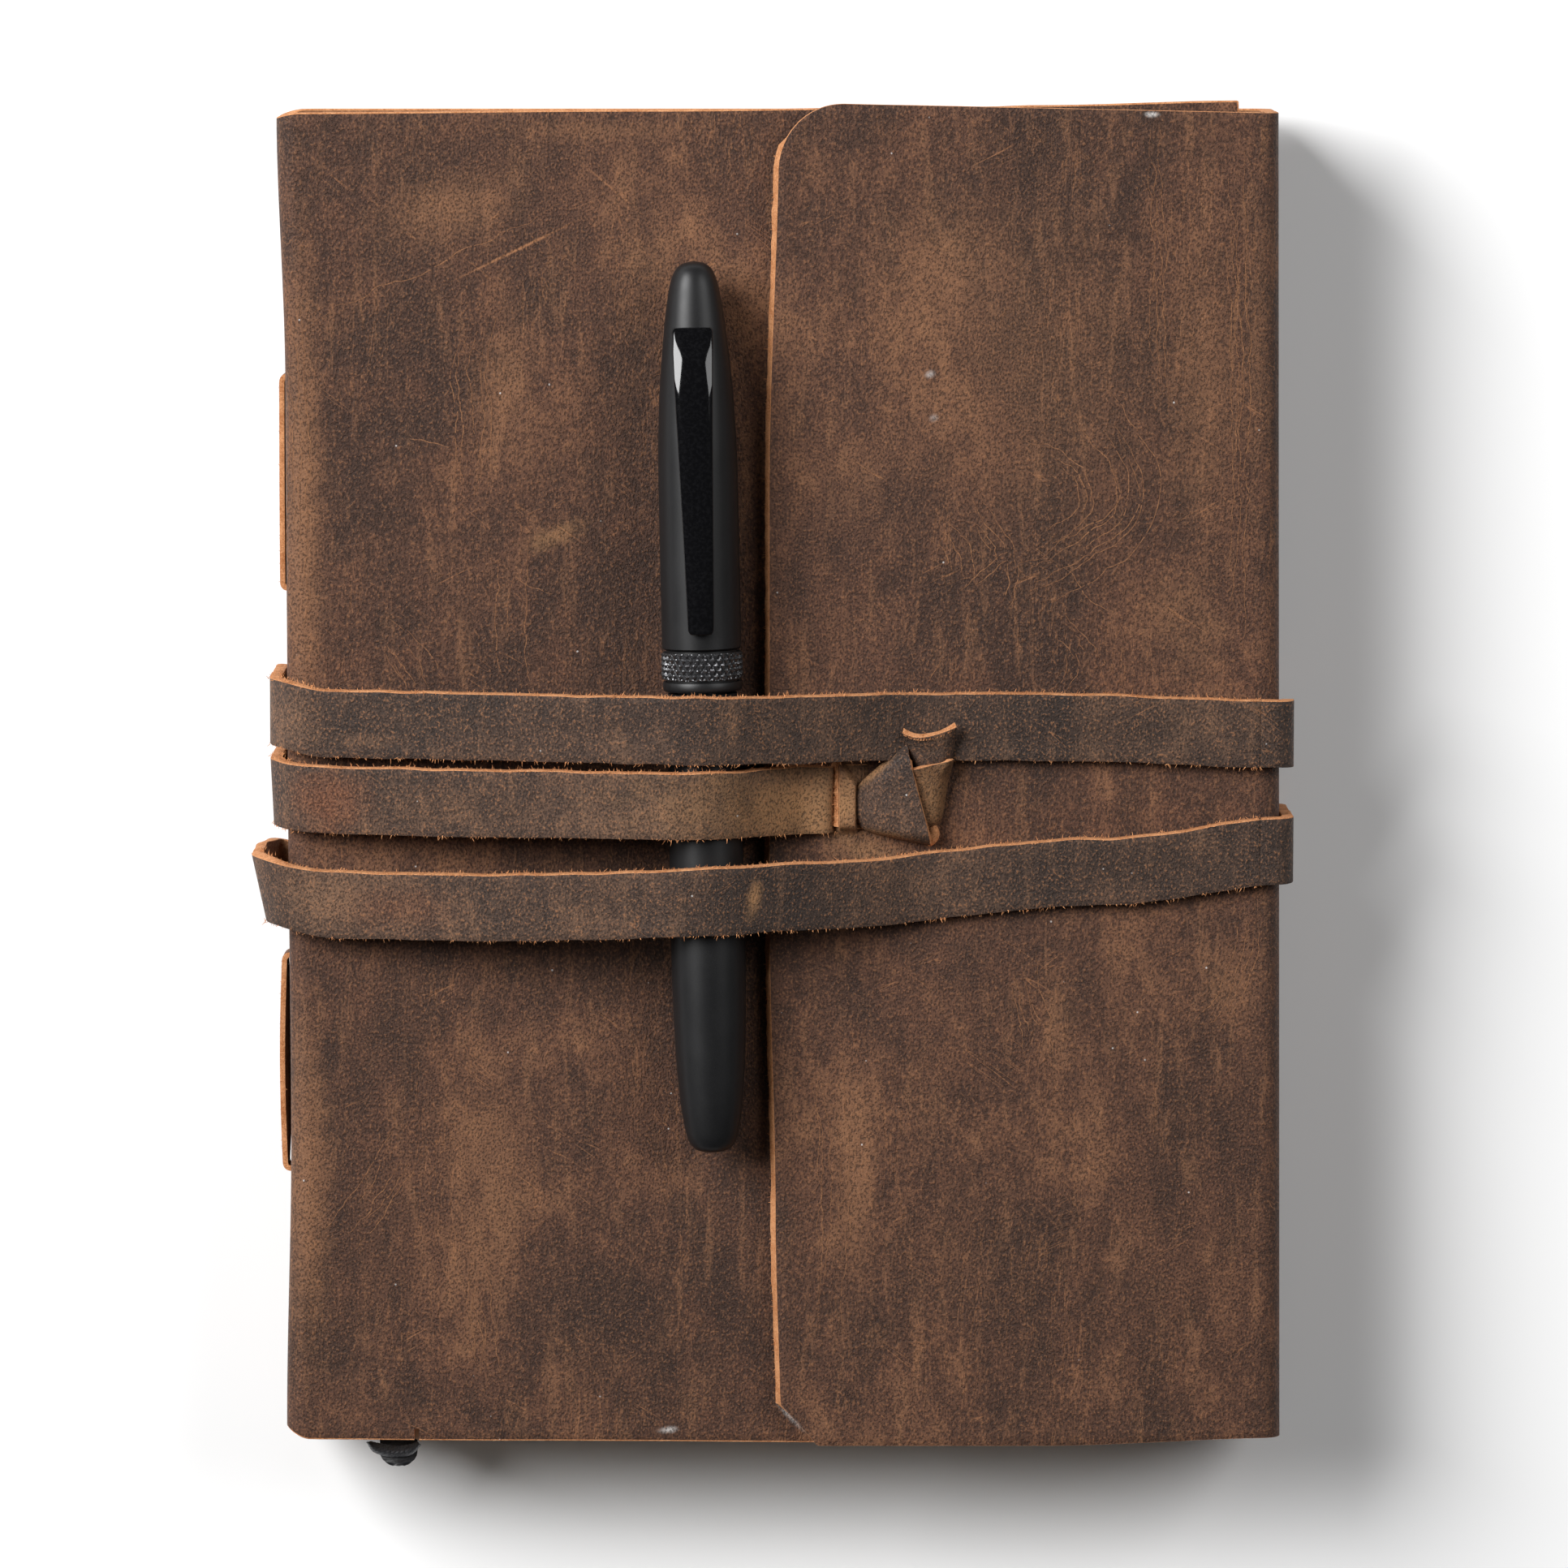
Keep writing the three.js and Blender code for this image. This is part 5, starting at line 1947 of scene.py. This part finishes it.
@dataclass
class Pen:
    """The capped pen, turned about its own axis, which runs from the tail towards the head."""

    matte: bpy.types.Material
    gloss: bpy.types.Material
    knurled: bpy.types.Material
    plastic: bpy.types.Material
    steel: bpy.types.Material
    tail: Point = (-10.2, -56.0)
    top: Point = (-13.0, 78.8)
    z: float = 32.75
    barrel_radius: float = 5.6
    band: Point = (71.9, 76.2)
    band_radius: float = 6.15
    clip_span: Point = (79.0, 125.2)

    @property
    def length(self) -> float:
        """Length of the closed pen."""
        return math.dist(self.tail, self.top)

    def at(self, y: float) -> Vector:
        """Gives the pen's axis at a Y."""
        share = (y - self.tail[1]) / (self.top[1] - self.tail[1])
        return Vector((self.tail[0] + (self.top[0] - self.tail[0]) * share, y, self.z))

    @property
    def axis(self) -> Matrix:
        """Places a piece turned about +Y on the pen's axis, in metres."""
        lean = math.atan2(self.tail[0] - self.top[0], self.top[1] - self.tail[1])
        place = Matrix.Translation(Vector((*self.tail, self.z)) * MM)
        return place @ Matrix.Rotation(lean, 4, "Z")

    def outline(self, points: Sequence[Point], count: int) -> list[Point]:
        """Smooths a stretch of a turned outline."""
        return [tuple(p) for p in curve_through(points, count)]

    def turn(self, name: str, profile: Sequence[Point], material: bpy.types.Material, nodes: Sequence[str],
             body: str, slot: str, sides: int = 96) -> bpy.types.Object:
        """Turns one piece of the pen and dresses it.

        Args:
            name: the piece's name.
            profile: rows of radius and distance from the tail.
            material: its finish.
            nodes: the CAD nodes that it stands for.
            body: the body that it rides on.
            slot: not used.
            sides: how many sides it has.

        Returns:
            The piece.
        """
        obj = turned(name, profile, self.axis, sides)
        soften(obj, 32)
        obj.data.materials.append(material)
        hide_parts(*nodes)
        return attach(obj, body)

    def barrel(self) -> bpy.types.Object:
        """Builds the barrel, which tapers to a blunt tail."""
        outside = self.outline([(0.0, 0.02), (1.3, 0.1), (2.6, 0.55), (3.5, 1.6), (4.1, 3.6), (4.75, 8),
                                (5.2, 14), (5.5, 22), (5.6, 30), (5.58, 45), (5.5, 58), (5.42, 69.5)], 66)
        inside = [(5.2, 69.8), (4.4, 69.8), (4.2, 69.4), (4.0, 40), (3.6, 8), (0.0, 6.0)]
        return self.turn("pen_body_shell", [*outside, *inside], self.matte, ["pen_barrel"], "pen_body",
                         "pen_matte_black")

    def grip(self) -> bpy.types.Object:
        """Builds the grip section under the cap, with its shoulder and five fine rings."""
        outside = [(3.3, 56), (3.7, 56), (3.7, 70), (4.0, 70.3), (4.1, 70.6), (4.1, 74)]
        for ring in range(5):
            start = 78 + 2.2 * ring
            radius = 4.06 - 0.6 * (start - 74) / 25
            outside += [(radius, start), (radius - 0.14, start + 0.2), (radius - 0.14, start + 0.6),
                        (radius - 0.02, start + 0.8)]
        outside += [(3.5, 99), (3.2, 101.2), (2.65, 103.6), (2.4, 104.0), (1.5, 104), (1.5, 97.5), (3.1, 92)]
        return self.turn("pen_grip", outside, self.matte, ["pen_grip_section"], "pen_body",
                         "pen_matte_black", 64)

    def inner_pieces(self) -> list[bpy.types.Object]:
        """Builds the ink refill and the writing tip."""
        ink = [(0, 12), (2.6, 12), (2.9, 12.4), (2.9, 89.6), (2.7, 90.4), (1.15, 96.6), (1.1, 97),
               (1.1, 104.3), (0, 104.3)]
        tip = [(0, 104.6), (1.8, 104.6), (1.9, 104.8), (1.7, 105.6), (1.1, 107.4), (0.6, 109.0),
               (0.5, 109.4), (0.35, 109.65), (0, 109.7)]
        return [
            self.turn("pen_ink", ink, self.plastic, ["pen_ink_refill"], "pen_body", "pen_plastic", 40),
            self.turn("pen_tip", tip, self.steel, ["pen_writing_tip"], "pen_body", "pen_steel", 40),
        ]

    def cap(self) -> list[bpy.types.Object]:
        """Builds the cap, its liner, its lip ring and its knurled band."""
        nose = self.length
        dome = self.outline([(5.98, nose - 33), (5.88, nose - 27), (5.48, nose - 19), (5.0, nose - 13.6),
                             (4.5, nose - 9.0), (3.95, nose - 5.2), (3.4, nose - 2.7), (2.65, nose - 1.15),
                             (1.6, nose - 0.35), (0.0, nose)], 56)
        cap = [(4.95, 70.6), (5.35, 70.6), (5.35, 76.35), (5.72, 76.5), (5.98, 76.75), (6.0, 78), *dome,
               (0.0, 130), (1.8, 129.6), (2.9, 127.8), (3.6, 124), (4.1, 120), (4.7, 116), (4.95, 110)]
        liner = [(4.3, 77), (4.65, 77), (4.65, 111), (4.2, 116.8), (0, 117), (0, 116.2), (4.0, 116.0),
                 (4.3, 111)]
        lip = [(5.45, 70.15), (5.7, 70.18), (5.88, 70.35), (5.95, 70.6), (5.95, 71.35), (5.85, 71.6),
               (5.45, 71.65)]
        return [
            self.turn("pen_cap", cap, self.matte, ["pen_cap_shell"], "pen_cap", "pen_matte_black"),
            self.turn("pen_cap_liner", liner, self.plastic, ["pen_inner_cap"], "pen_cap", "pen_plastic", 48),
            self.turn("pen_lip_ring", lip, self.matte, ["pen_cap_lip_ring"], "pen_cap", "pen_matte_black"),
            self.band_piece(),
        ]

    def band_piece(self) -> bpy.types.Object:
        """Builds the knurled band: two sets of crossed grooves round a ring."""
        pitches, facets, rows = 32, 8, 32
        sides = pitches * facets
        low, high = self.band
        slope = 2 * math.pi * self.band_radius / pitches

        def place(u: np.ndarray, v: np.ndarray) -> np.ndarray:
            """Puts a corner on the band, deeper where a groove runs."""
            along = low + 0.12 + (high - low - 0.24) * v
            one = u * pitches + (along - low) / slope * 0.75
            other = u * pitches - (along - low) / slope * 0.75
            crest = np.minimum(np.abs(one - np.rint(one)), np.abs(other - np.rint(other))) * 2
            edge = smooth(np.minimum(v, 1 - v) / 0.08)
            radius = self.band_radius - 0.42 * (1 - np.clip(crest * 1.5, 0, 1)) * edge - 0.30 * (1 - edge)
            angle = 2 * math.pi * u
            return np.stack([radius * np.sin(angle), along, radius * np.cos(angle)], axis=1)

        obj = grid_piece("pen_knurled_ring", sides, rows, place)
        close_loop(obj)
        apply_modifier(obj, "SOLIDIFY", thickness=0.35 * MM, offset=-1)
        face_outwards(obj)
        obj.data.transform(self.axis)
        soften(obj, 14)
        obj.data.materials.append(self.knurled)
        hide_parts("pen_knurled_band")
        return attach(obj, "pen_cap")

    def clip(self) -> bpy.types.Object:
        """Builds the clip: a polished blade that widens towards its root in the cap."""
        foot, root = self.clip_span
        width = flowing([(foot, 4.1), (foot + 20, 5.0), (root - 2, 6.3), (root, 6.3)])
        over = flowing([(foot, 7.3), (foot + 5, 7.6), (foot + 15, 7.8), (foot + 26, 7.85), (root - 12, 7.75),
                        (root - 8, 7.5), (root - 3.5, 6.3), (root, 4.65)])
        under = flowing([(foot, 6.75), (foot + 5, 6.35), (foot + 20, 6.4), (root - 8, 5.4), (root, 3.7)])
        columns, rows = 12, 70

        def place(u: np.ndarray, v: np.ndarray) -> np.ndarray:
            """Puts a corner on the blade's face."""
            along = foot + (root - foot) * v
            side = (u - 0.5) * 2
            tip = 1 - 0.18 * smooth((foot + 0.7 - along) / 0.7) ** 2
            tip = tip - 0.08 * smooth((along - root + 0.6) / 0.6) ** 2
            crown = 0.55 * (1 - np.abs(side) ** 3)
            shift = -0.35 * smooth((along - foot) / (root - foot))
            across = shift + side * width(along) / 2 * tip
            return np.stack([across, along, over(along) - 0.55 + crown], axis=1)

        obj = grid_piece("pen_clip_blade_face", columns, rows, place)
        obj.name = obj.data.name = "pen_clip_polished"
        apply_modifier(obj, "SOLIDIFY", thickness=1.1 * MM, offset=-1, use_even_offset=True)
        points = corners_of(obj)
        below = points[:, 2] < over(points[:, 1]) - 1.1
        points[:, 2] = np.where(below, np.maximum(points[:, 2], under(points[:, 1])), points[:, 2])
        set_corners(obj, points)
        apply_modifier(obj, "BEVEL", width=0.26 * MM, segments=4, limit_method="ANGLE",
                       angle_limit=math.radians(50))
        obj.data.transform(self.axis)
        soften(obj, 50)
        obj.data.materials.append(self.gloss)
        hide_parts("pen_clip")
        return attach(obj, "pen_clip_blade")

    def build(self) -> list[bpy.types.Object]:
        """Builds the whole pen.

        Returns:
            The pieces.
        """
        return [self.barrel(), self.grip(), *self.inner_pieces(), *self.cap(), self.clip()]


# ---- Finishes -----------------------------------------------------------------------------

HIDE_DARK = (0.043, 0.023, 0.0165)
HIDE_MIDDLE = (0.100, 0.046, 0.028)
HIDE_LIGHT = (0.225, 0.108, 0.055)
EDGE_PALE = (0.74, 0.36, 0.17)
EDGE_DEEP = (0.40, 0.145, 0.050)

FRONT_PATCHES = (
    Patch(WearAndLight.RUBBED, (-50, 86), (17, 9), 0.2, 0.65),
    Patch(WearAndLight.RUBBED, (-42, 60), (7, 18), -0.1, 0.55),
    # Painted highlight: these two lighter bands along the spine side stand for the key light falling on the
    # spine from the left.
    Patch(WearAndLight.RUBBED, (-72, 40), (5, 66), 0.0, 0.85),
    Patch(WearAndLight.RUBBED, (-72, -62), (6, 42), 0.0, 0.85),
    # Painted shade: these two broad darker patches on the front, with the broad lighter patch on the flap,
    # stand in for a stronger key light on the flap.
    Patch(WearAndLight.DARK, (-44, 22), (24, 26), 0.0, 0.20),
    Patch(WearAndLight.DARK, (-40, -62), (26, 36), 0.0, 0.20),
    Patch(WearAndLight.GOLDEN, (-34, 37), (8, 2.6), 0.42, 0.40),
    Patch(WearAndLight.RUBBED, (-28, 98), (22, 3), 0.0, 0.45),
    Patch(WearAndLight.RUBBED, (-46, -56), (9, 15), 0.2, 0.45),
    Patch(WearAndLight.DARK, (-21, 62), (11, 42), 0.0, 0.62),
    Patch(WearAndLight.DARK, (-60, 40), (11, 12), 0.0, 0.45),
    Patch(WearAndLight.DARK, (-22, -22), (26, 12), 0.0, 0.55),
    Patch(WearAndLight.DARK, (-30, -82), (26, 13), 0.0, 0.50),
    Patch(WearAndLight.DARK, (-66, -88), (9, 12), 0.0, 0.40),
    # Painted shadow: this darker band runs along the slot between the pen and the flap's free edge.
    Patch(WearAndLight.DARK, (-8, 0), (9, 110), 0.0, 0.45),
    Patch(WearAndLight.SCRATCH, (-40, 80), (17, 0.35), 0.45, 0.75),
    Patch(WearAndLight.SCRATCH, (-26, 90), (9, 0.3), -0.7, 0.45),
    Patch(WearAndLight.CHALKY, (-17, -99.6), (2.2, 0.8), 0.1, 0.8),
)
FLAP_PATCHES = (
    # Painted light: this broad lighter patch stands in for a stronger key light on the flap, with the two
    # broad darker patches on the front.
    Patch(WearAndLight.RUBBED, (38, 62), (34, 40), 0.0, 0.28),
    Patch(WearAndLight.RUBBED, (24, 78), (18, 15), 0.0, 0.50),
    Patch(WearAndLight.RUBBED, (64, 60), (9, 36), 0.0, 0.50),
    Patch(WearAndLight.RUBBED, (72, 66), (3, 34), 0.0, 0.40),
    Patch(WearAndLight.RUBBED, (11.5, -60), (5, 26), 0.0, 0.62),
    Patch(WearAndLight.RUBBED, (68, -31), (8, 11), 0.2, 0.50),
    Patch(WearAndLight.RUBBED, (42, -36), (5, 13), 0.0, 0.35),
    Patch(WearAndLight.GOLDEN, (9.8, -3), (6, 9), 0.0, 0.85),
    Patch(WearAndLight.GOLDEN, (13, -10.5), (9, 4), -0.1, 0.40),
    Patch(WearAndLight.DARK, (62, 22), (10, 22), 0.0, 0.42),
    Patch(WearAndLight.DARK, (16, 42), (15, 14), 0.0, 0.35),
    Patch(WearAndLight.DARK, (34, -72), (18, 22), 0.0, 0.35),
    Patch(WearAndLight.DARK, (46, -16), (30, 6), 0.0, 0.55),
    Patch(WearAndLight.CHALKY, (22.6, 61.6), (1.3, 0.9), 0.3, 0.6),
    Patch(WearAndLight.CHALKY, (23.2, 55.0), (1.2, 1.0), 0.3, 0.4),
    Patch(WearAndLight.CHALKY, (56.0, 100.6), (1.8, 0.7), 0.0, 1.0),
    Patch(WearAndLight.CHALKY, (1.6, -97.5), (0.8, 5.0), 0.75, 0.55),
)

FLAP_CREASES = (
    Crease(((43.2, 56.1), (46.5, 51.8), (50.2, 45.7), (49.6, 40.8), (45.3, 37.7), (40.4, 34.6),
            (36.1, 32.8)), 6, -1.1),
    Crease(((36.0, 52.0), (41.5, 50.0), (46.0, 47.0), (47.0, 42.0), (44.0, 38.0), (40.0, 36.0)), 3, 1.1),
    Crease(((25.0, 39.5), (27.5, 37.1), (29.3, 33.4), (29.3, 30.3)), 3, 1.5),
    Crease(((29.3, 43.8), (32.4, 39.5), (34.9, 36.5), (35.7, 32.8)), 4, 1.1),
    Crease(((27.3, 28.9), (30.6, 32.2), (34.3, 34.6)), 2, 1.2),
    Crease(((35.9, 32.8), (35.5, 29.7), (34.3, 26.6)), 2, 1.0),
    Crease(((42.9, 32.2), (45.9, 28.5), (47.1, 26.6), (50.2, 25.4))),
    Crease(((42.9, 25.4), (45.9, 22.3), (47.1, 20.5), (48.0, 18.7)), 3, 1.6),
    Crease(((51.2, 20.5), (51.8, 17.5), (50.9, 14.6)), 3, 1.5),
    Crease(((44.0, 20.0), (44.8, 17.5), (44.2, 14.6)), 2, 1.3),
    Crease(((26.8, 18.2), (25.5, 16.5), (25.0, 14.7)), 2, 2.2),
    Crease(((56.5, 99.0), (58.0, 82.0), (57.6, 70.0), (58.6, 56.0)), 3, 0.9),
    Crease(((69.6, 95.0), (70.6, 60.0), (69.8, 20.0)), 4, 0.9),
    Crease(((63.1, -36.6), (66.2, -32.9), (68.6, -26.8), (69.9, -19.4)), 4, 1.2),
    Crease(((38.6, -26.0), (39.8, -32.9), (41.0, -36.6), (41.6, -42.7)), 5, 1.4),
    Crease(((9.0, -41.5), (10.4, -60.0), (9.2, -84.5)), 5, 1.2),
)
FRONT_CREASES = (
    Crease(((-41.9, 71.5), (-44.3, 62.9), (-43.7, 54.3), (-44.3, 44.4)), 5, 1.3),
    Crease(((-72.2, 72.0), (-71.2, 48.0), (-71.8, 20.0)), 4, 1.1),
    Crease(((-56.0, 23.0), (-52.9, 18.7), (-51.0, 14.6)), 5, 1.5),
    Crease(((-38.0, 36.0), (-38.6, 26.0), (-38.0, 15.0)), 3, 2.4),
    Crease(((-68.9, -68.5), (-62.7, -59.9), (-59.0, -53.8)), 5, 1.6),
    Crease(((-44.3, -74.0), (-43.7, -84.0), (-42.5, -91.6)), 4, 1.5),
    Crease(((-71.0, 69.6), (-52.0, 78.0), (-33.0, 87.0))),
    Crease(((-56.0, 51.5), (-50.0, 50.4))),
    Crease(((-40.0, 31.0), (-34.5, 28.2))),
)


def leather(name: str, patches: tuple[Patch, ...] = (), dark: Colour = HIDE_DARK,
            middle: Colour = HIDE_MIDDLE, light: Colour = HIDE_LIGHT, wrinkled: float = 0.26,
            speckled: float = 0.30) -> LeatherSet:
    """Builds one kind of leather.

    Args:
        name: its name.
        patches: where it is worn, and where light and shade are painted on it.
        dark: its darkest tone.
        middle: its main tone.
        light: its pulled-up tone.
        wrinkled: how strongly its fine upright wrinkles show.
        speckled: how strongly its raised grain shows.

    Returns:
        The three finishes.
    """
    flesh = bpy.data.materials.get("leather_flesh") or LeatherRaw(
        "leather_flesh", (0.34, 0.17, 0.085), (0.17, 0.075, 0.035), 0.6).material()
    edge = bpy.data.materials.get("leather_cut_edge") or LeatherRaw(
        "leather_cut_edge", EDGE_PALE, EDGE_DEEP, 0.35).material()
    grain = LeatherGrain(f"{name}_grain", dark, middle, light, patches, wrinkled=wrinkled,
                         speckled=speckled).material()
    return LeatherSet(grain, flesh, edge)


# ---- Studio -------------------------------------------------------------------------------


@dataclass
class Studio:
    """A pale table, soft light from the upper left and the camera above the cover."""

    aim: tuple[float, float, float] = (0.6, -0.5, 28.0)
    seen: float = 237.2
    distance: float = 1500.0
    tilt: float = 5.6
    ambient: float = 0.05
    sensor: float = 36.0

    def build(self) -> None:
        """Builds the floor, the lights, the world and the camera."""
        deselect()
        bpy.ops.mesh.primitive_plane_add(size=6)
        floor = named("table_top")
        floor.location.z = -0.0004
        material, _, shader = new_material("table_white")
        shader.inputs["Base Color"].default_value = (0.92, 0.92, 0.92, 1)
        shader.inputs["Roughness"].default_value = 0.9
        floor.data.materials.append(material)

        world = bpy.data.worlds.new("studio") if not bpy.data.worlds else bpy.data.worlds[0]
        bpy.context.scene.world = world
        world.use_nodes = True
        background = next(n for n in world.node_tree.nodes if n.type == "BACKGROUND")
        background.inputs["Color"].default_value = (1.0, 1.0, 1.0, 1)
        background.inputs["Strength"].default_value = self.ambient
        self.lamp("key", (-860, 540, 880), 0.8, 30.0)
        self.lamp("fill", (880, 500, 880), 0.75, 7.5)
        bpy.context.scene.view_settings.view_transform = "Standard"

        camera = bpy.data.cameras.new("camera")
        rig = bpy.data.objects.new("camera", camera)
        bpy.context.scene.collection.objects.link(rig)
        lean = math.radians(self.tilt)
        back = Vector((0, math.sin(lean), math.cos(lean)))
        rig.location = (Vector(self.aim) + back * self.distance) * MM
        rig.rotation_euler = (-lean, 0, 0)
        camera.sensor_width = self.sensor
        camera.lens = self.sensor * self.distance / self.seen
        camera.clip_start, camera.clip_end = 0.05, 20
        bpy.context.scene.camera = rig

    def lamp(self, name: str, place: Sequence[float], size: float, power: float) -> None:
        """Hangs one soft lamp that looks at the cover.

        Args:
            name: its name.
            place: where it hangs, in millimetres.
            size: its side in metres.
            power: in watts.
        """
        light = bpy.data.lights.new(name, "AREA")
        light.shape = "SQUARE"
        light.size = size
        light.energy = power
        rig = bpy.data.objects.new(name, light)
        bpy.context.scene.collection.objects.link(rig)
        rig.location = Vector(place) * MM
        rig.rotation_mode = "QUATERNION"
        rig.rotation_quaternion = (Vector(self.aim) - Vector(place)).to_track_quat("-Z", "Y")


# ---- Assembly -----------------------------------------------------------------------------


def main() -> None:
    """Builds every sub-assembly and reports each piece."""
    logging.basicConfig(level=logging.INFO, format="%(name)s: %(message)s")
    Studio().build()
    levels = Levels.read()
    fuzz = LeatherRaw("leather_fibre", (0.72, 0.34, 0.15), (0.42, 0.16, 0.06), 1.0, 0.0).material()
    hide = leather("hide", FRONT_PATCHES + FLAP_PATCHES)
    grey = dict(dark=(0.036, 0.026, 0.022), middle=(0.080, 0.048, 0.034), light=(0.19, 0.105, 0.062),
                wrinkled=0.03, speckled=0.46)
    gold = dict(dark=(0.075, 0.040, 0.023), middle=(0.17, 0.086, 0.042), light=(0.32, 0.18, 0.085),
                wrinkled=0.03, speckled=0.45)
    thong = {
        "thong_top_run": leather("thong_top", (
            Patch(WearAndLight.RUBBED, (-73, 9), (5, 8), 0.0, 0.5),
            Patch(WearAndLight.DARK, (-25, 10), (30, 3.5), 0.0, 0.5),
            Patch(WearAndLight.DARK, (40, 8), (30, 5), 0.0, 0.35),
            Patch(WearAndLight.RUBBED, (-62, 6.5), (8, 2), 0.0, 0.45)), **grey),
        "thong_middle_run": leather("thong_middle", (
            Patch(WearAndLight.GOLDEN, (2, -3), (38, 14), 0.0, 0.55),
            Patch(WearAndLight.GOLDEN, (3, -4), (13, 8), 0.0, 0.70),
            Patch(WearAndLight.REDDISH, (-68, -3), (10, 9), 0.0, 0.85),
            Patch(WearAndLight.DARK, (-45, -3), (15, 5), 0.0, 0.3)), **grey),
        "thong_bottom_run": leather("thong_bottom", (
            Patch(WearAndLight.RUBBED, (-68, -18), (11, 8), 0.0, 0.65),
            Patch(WearAndLight.REDDISH, (-58, -19), (14, 6), 0.0, 0.4),
            Patch(WearAndLight.DARK, (-22, -17), (16, 4), 0.0, 0.4),
            Patch(WearAndLight.GOLDEN, (-4, -17), (1.8, 5), -0.2, 0.8),
            Patch(WearAndLight.DARK, (50, -13), (24, 5), 0.1, 0.35)), **grey),
        "thong_back": leather("thong_back", (), **grey),
        "knot_fan": leather("knot_fan", (
            Patch(WearAndLight.GOLDEN, (14, 1.5), (7, 1.2), 0.75, 0.9),
            Patch(WearAndLight.GOLDEN, (16, -8), (7, 1.2), -0.15, 0.7)), **grey),
        "knot_wrap": leather("knot_wrap", (Patch(WearAndLight.GOLDEN, (23, -2), (6, 9), 0.0, 0.35),), **gold),
        "knot_end": leather("knot_end", (), **grey),
    }
    pen = Pen(
        matte=Coated("pen_matte", (0.006, 0.006, 0.0065), 0.0, 0.37, specular=0.36).material(),
        gloss=Coated("pen_gloss", (0.002, 0.002, 0.0025), 0.0, 0.06, 0.02, 0.5, 0.0004).material(),
        knurled=Coated("pen_knurled", (0.06, 0.06, 0.063), 0.7, 0.20, specular=0.6).material(),
        plastic=Coated("pen_plastic", (0.55, 0.55, 0.52), 0.0, 0.35, 0.05, 0.4, 0.002).material(),
        steel=Coated("pen_steel", (0.42, 0.43, 0.45), 1.0, 0.22, 0.05, 0.2, 0.002).material(),
    )
    laces = Laces(leather("lace", (), dark=(0.10, 0.045, 0.025), middle=(0.17, 0.072, 0.035),
                          light=(0.30, 0.14, 0.06)), fuzz)
    paper = Stock("refill_paper", (0.87, 0.82, 0.70), (0.80, 0.74, 0.60), (1, 1, 8), 0.5, 0.85, 0.02)
    card = Stock("refill_card", (0.40, 0.25, 0.12), (0.28, 0.16, 0.07), (1, 0.25, 1), 0.6, 0.8, 0.03)
    ribbon = Stock("ribbon_weave", (0.022, 0.022, 0.026), (0.008, 0.008, 0.010), (4, 0.6, 1),
                   0.35, 0.38, 0.03)
    # The folded end is the same black ribbon; its lighter grey is painted sheen, standing in for glancing
    # light on its ribs.
    ribs = Stock("ribbon_fold_painted_sheen", (0.10, 0.10, 0.11), (0.03, 0.03, 0.034), (4, 0.6, 1), 0.35, 0.38, 0.03)
    paper_white, black, fold_painted_sheen = paper.material(), ribbon.material(), ribs.material()
    covers = Hide(levels, hide, fuzz).build(laces.loops())
    front, _, flap = covers[:3]
    crease_tan = LeatherRaw("leather_crease", (0.26, 0.125, 0.062), (0.13, 0.062, 0.036), 1.6, 0.0)
    creases = Creases(crease_tan.material())
    made = [
        *covers,
        creases.build("cover_flap_creases", flap, FLAP_CREASES, "flap"),
        creases.build("cover_front_creases", front, FRONT_CREASES, "front_cover"),
        *Thong(levels, thong, fuzz, pen.at, pen.barrel_radius).build(),
        *Knot(levels, thong, fuzz).build(),
        *laces.build(),
        *Refill(paper_white, card.material()).build(),
        *Ribbon(black, fold_painted_sheen, paper_white).build(),
        *pen.build(),
    ]
    for obj in made:
        LOG.info("%s: %d faces", obj.name, len(obj.data.polygons))


if __name__ == "__main__":
    main()
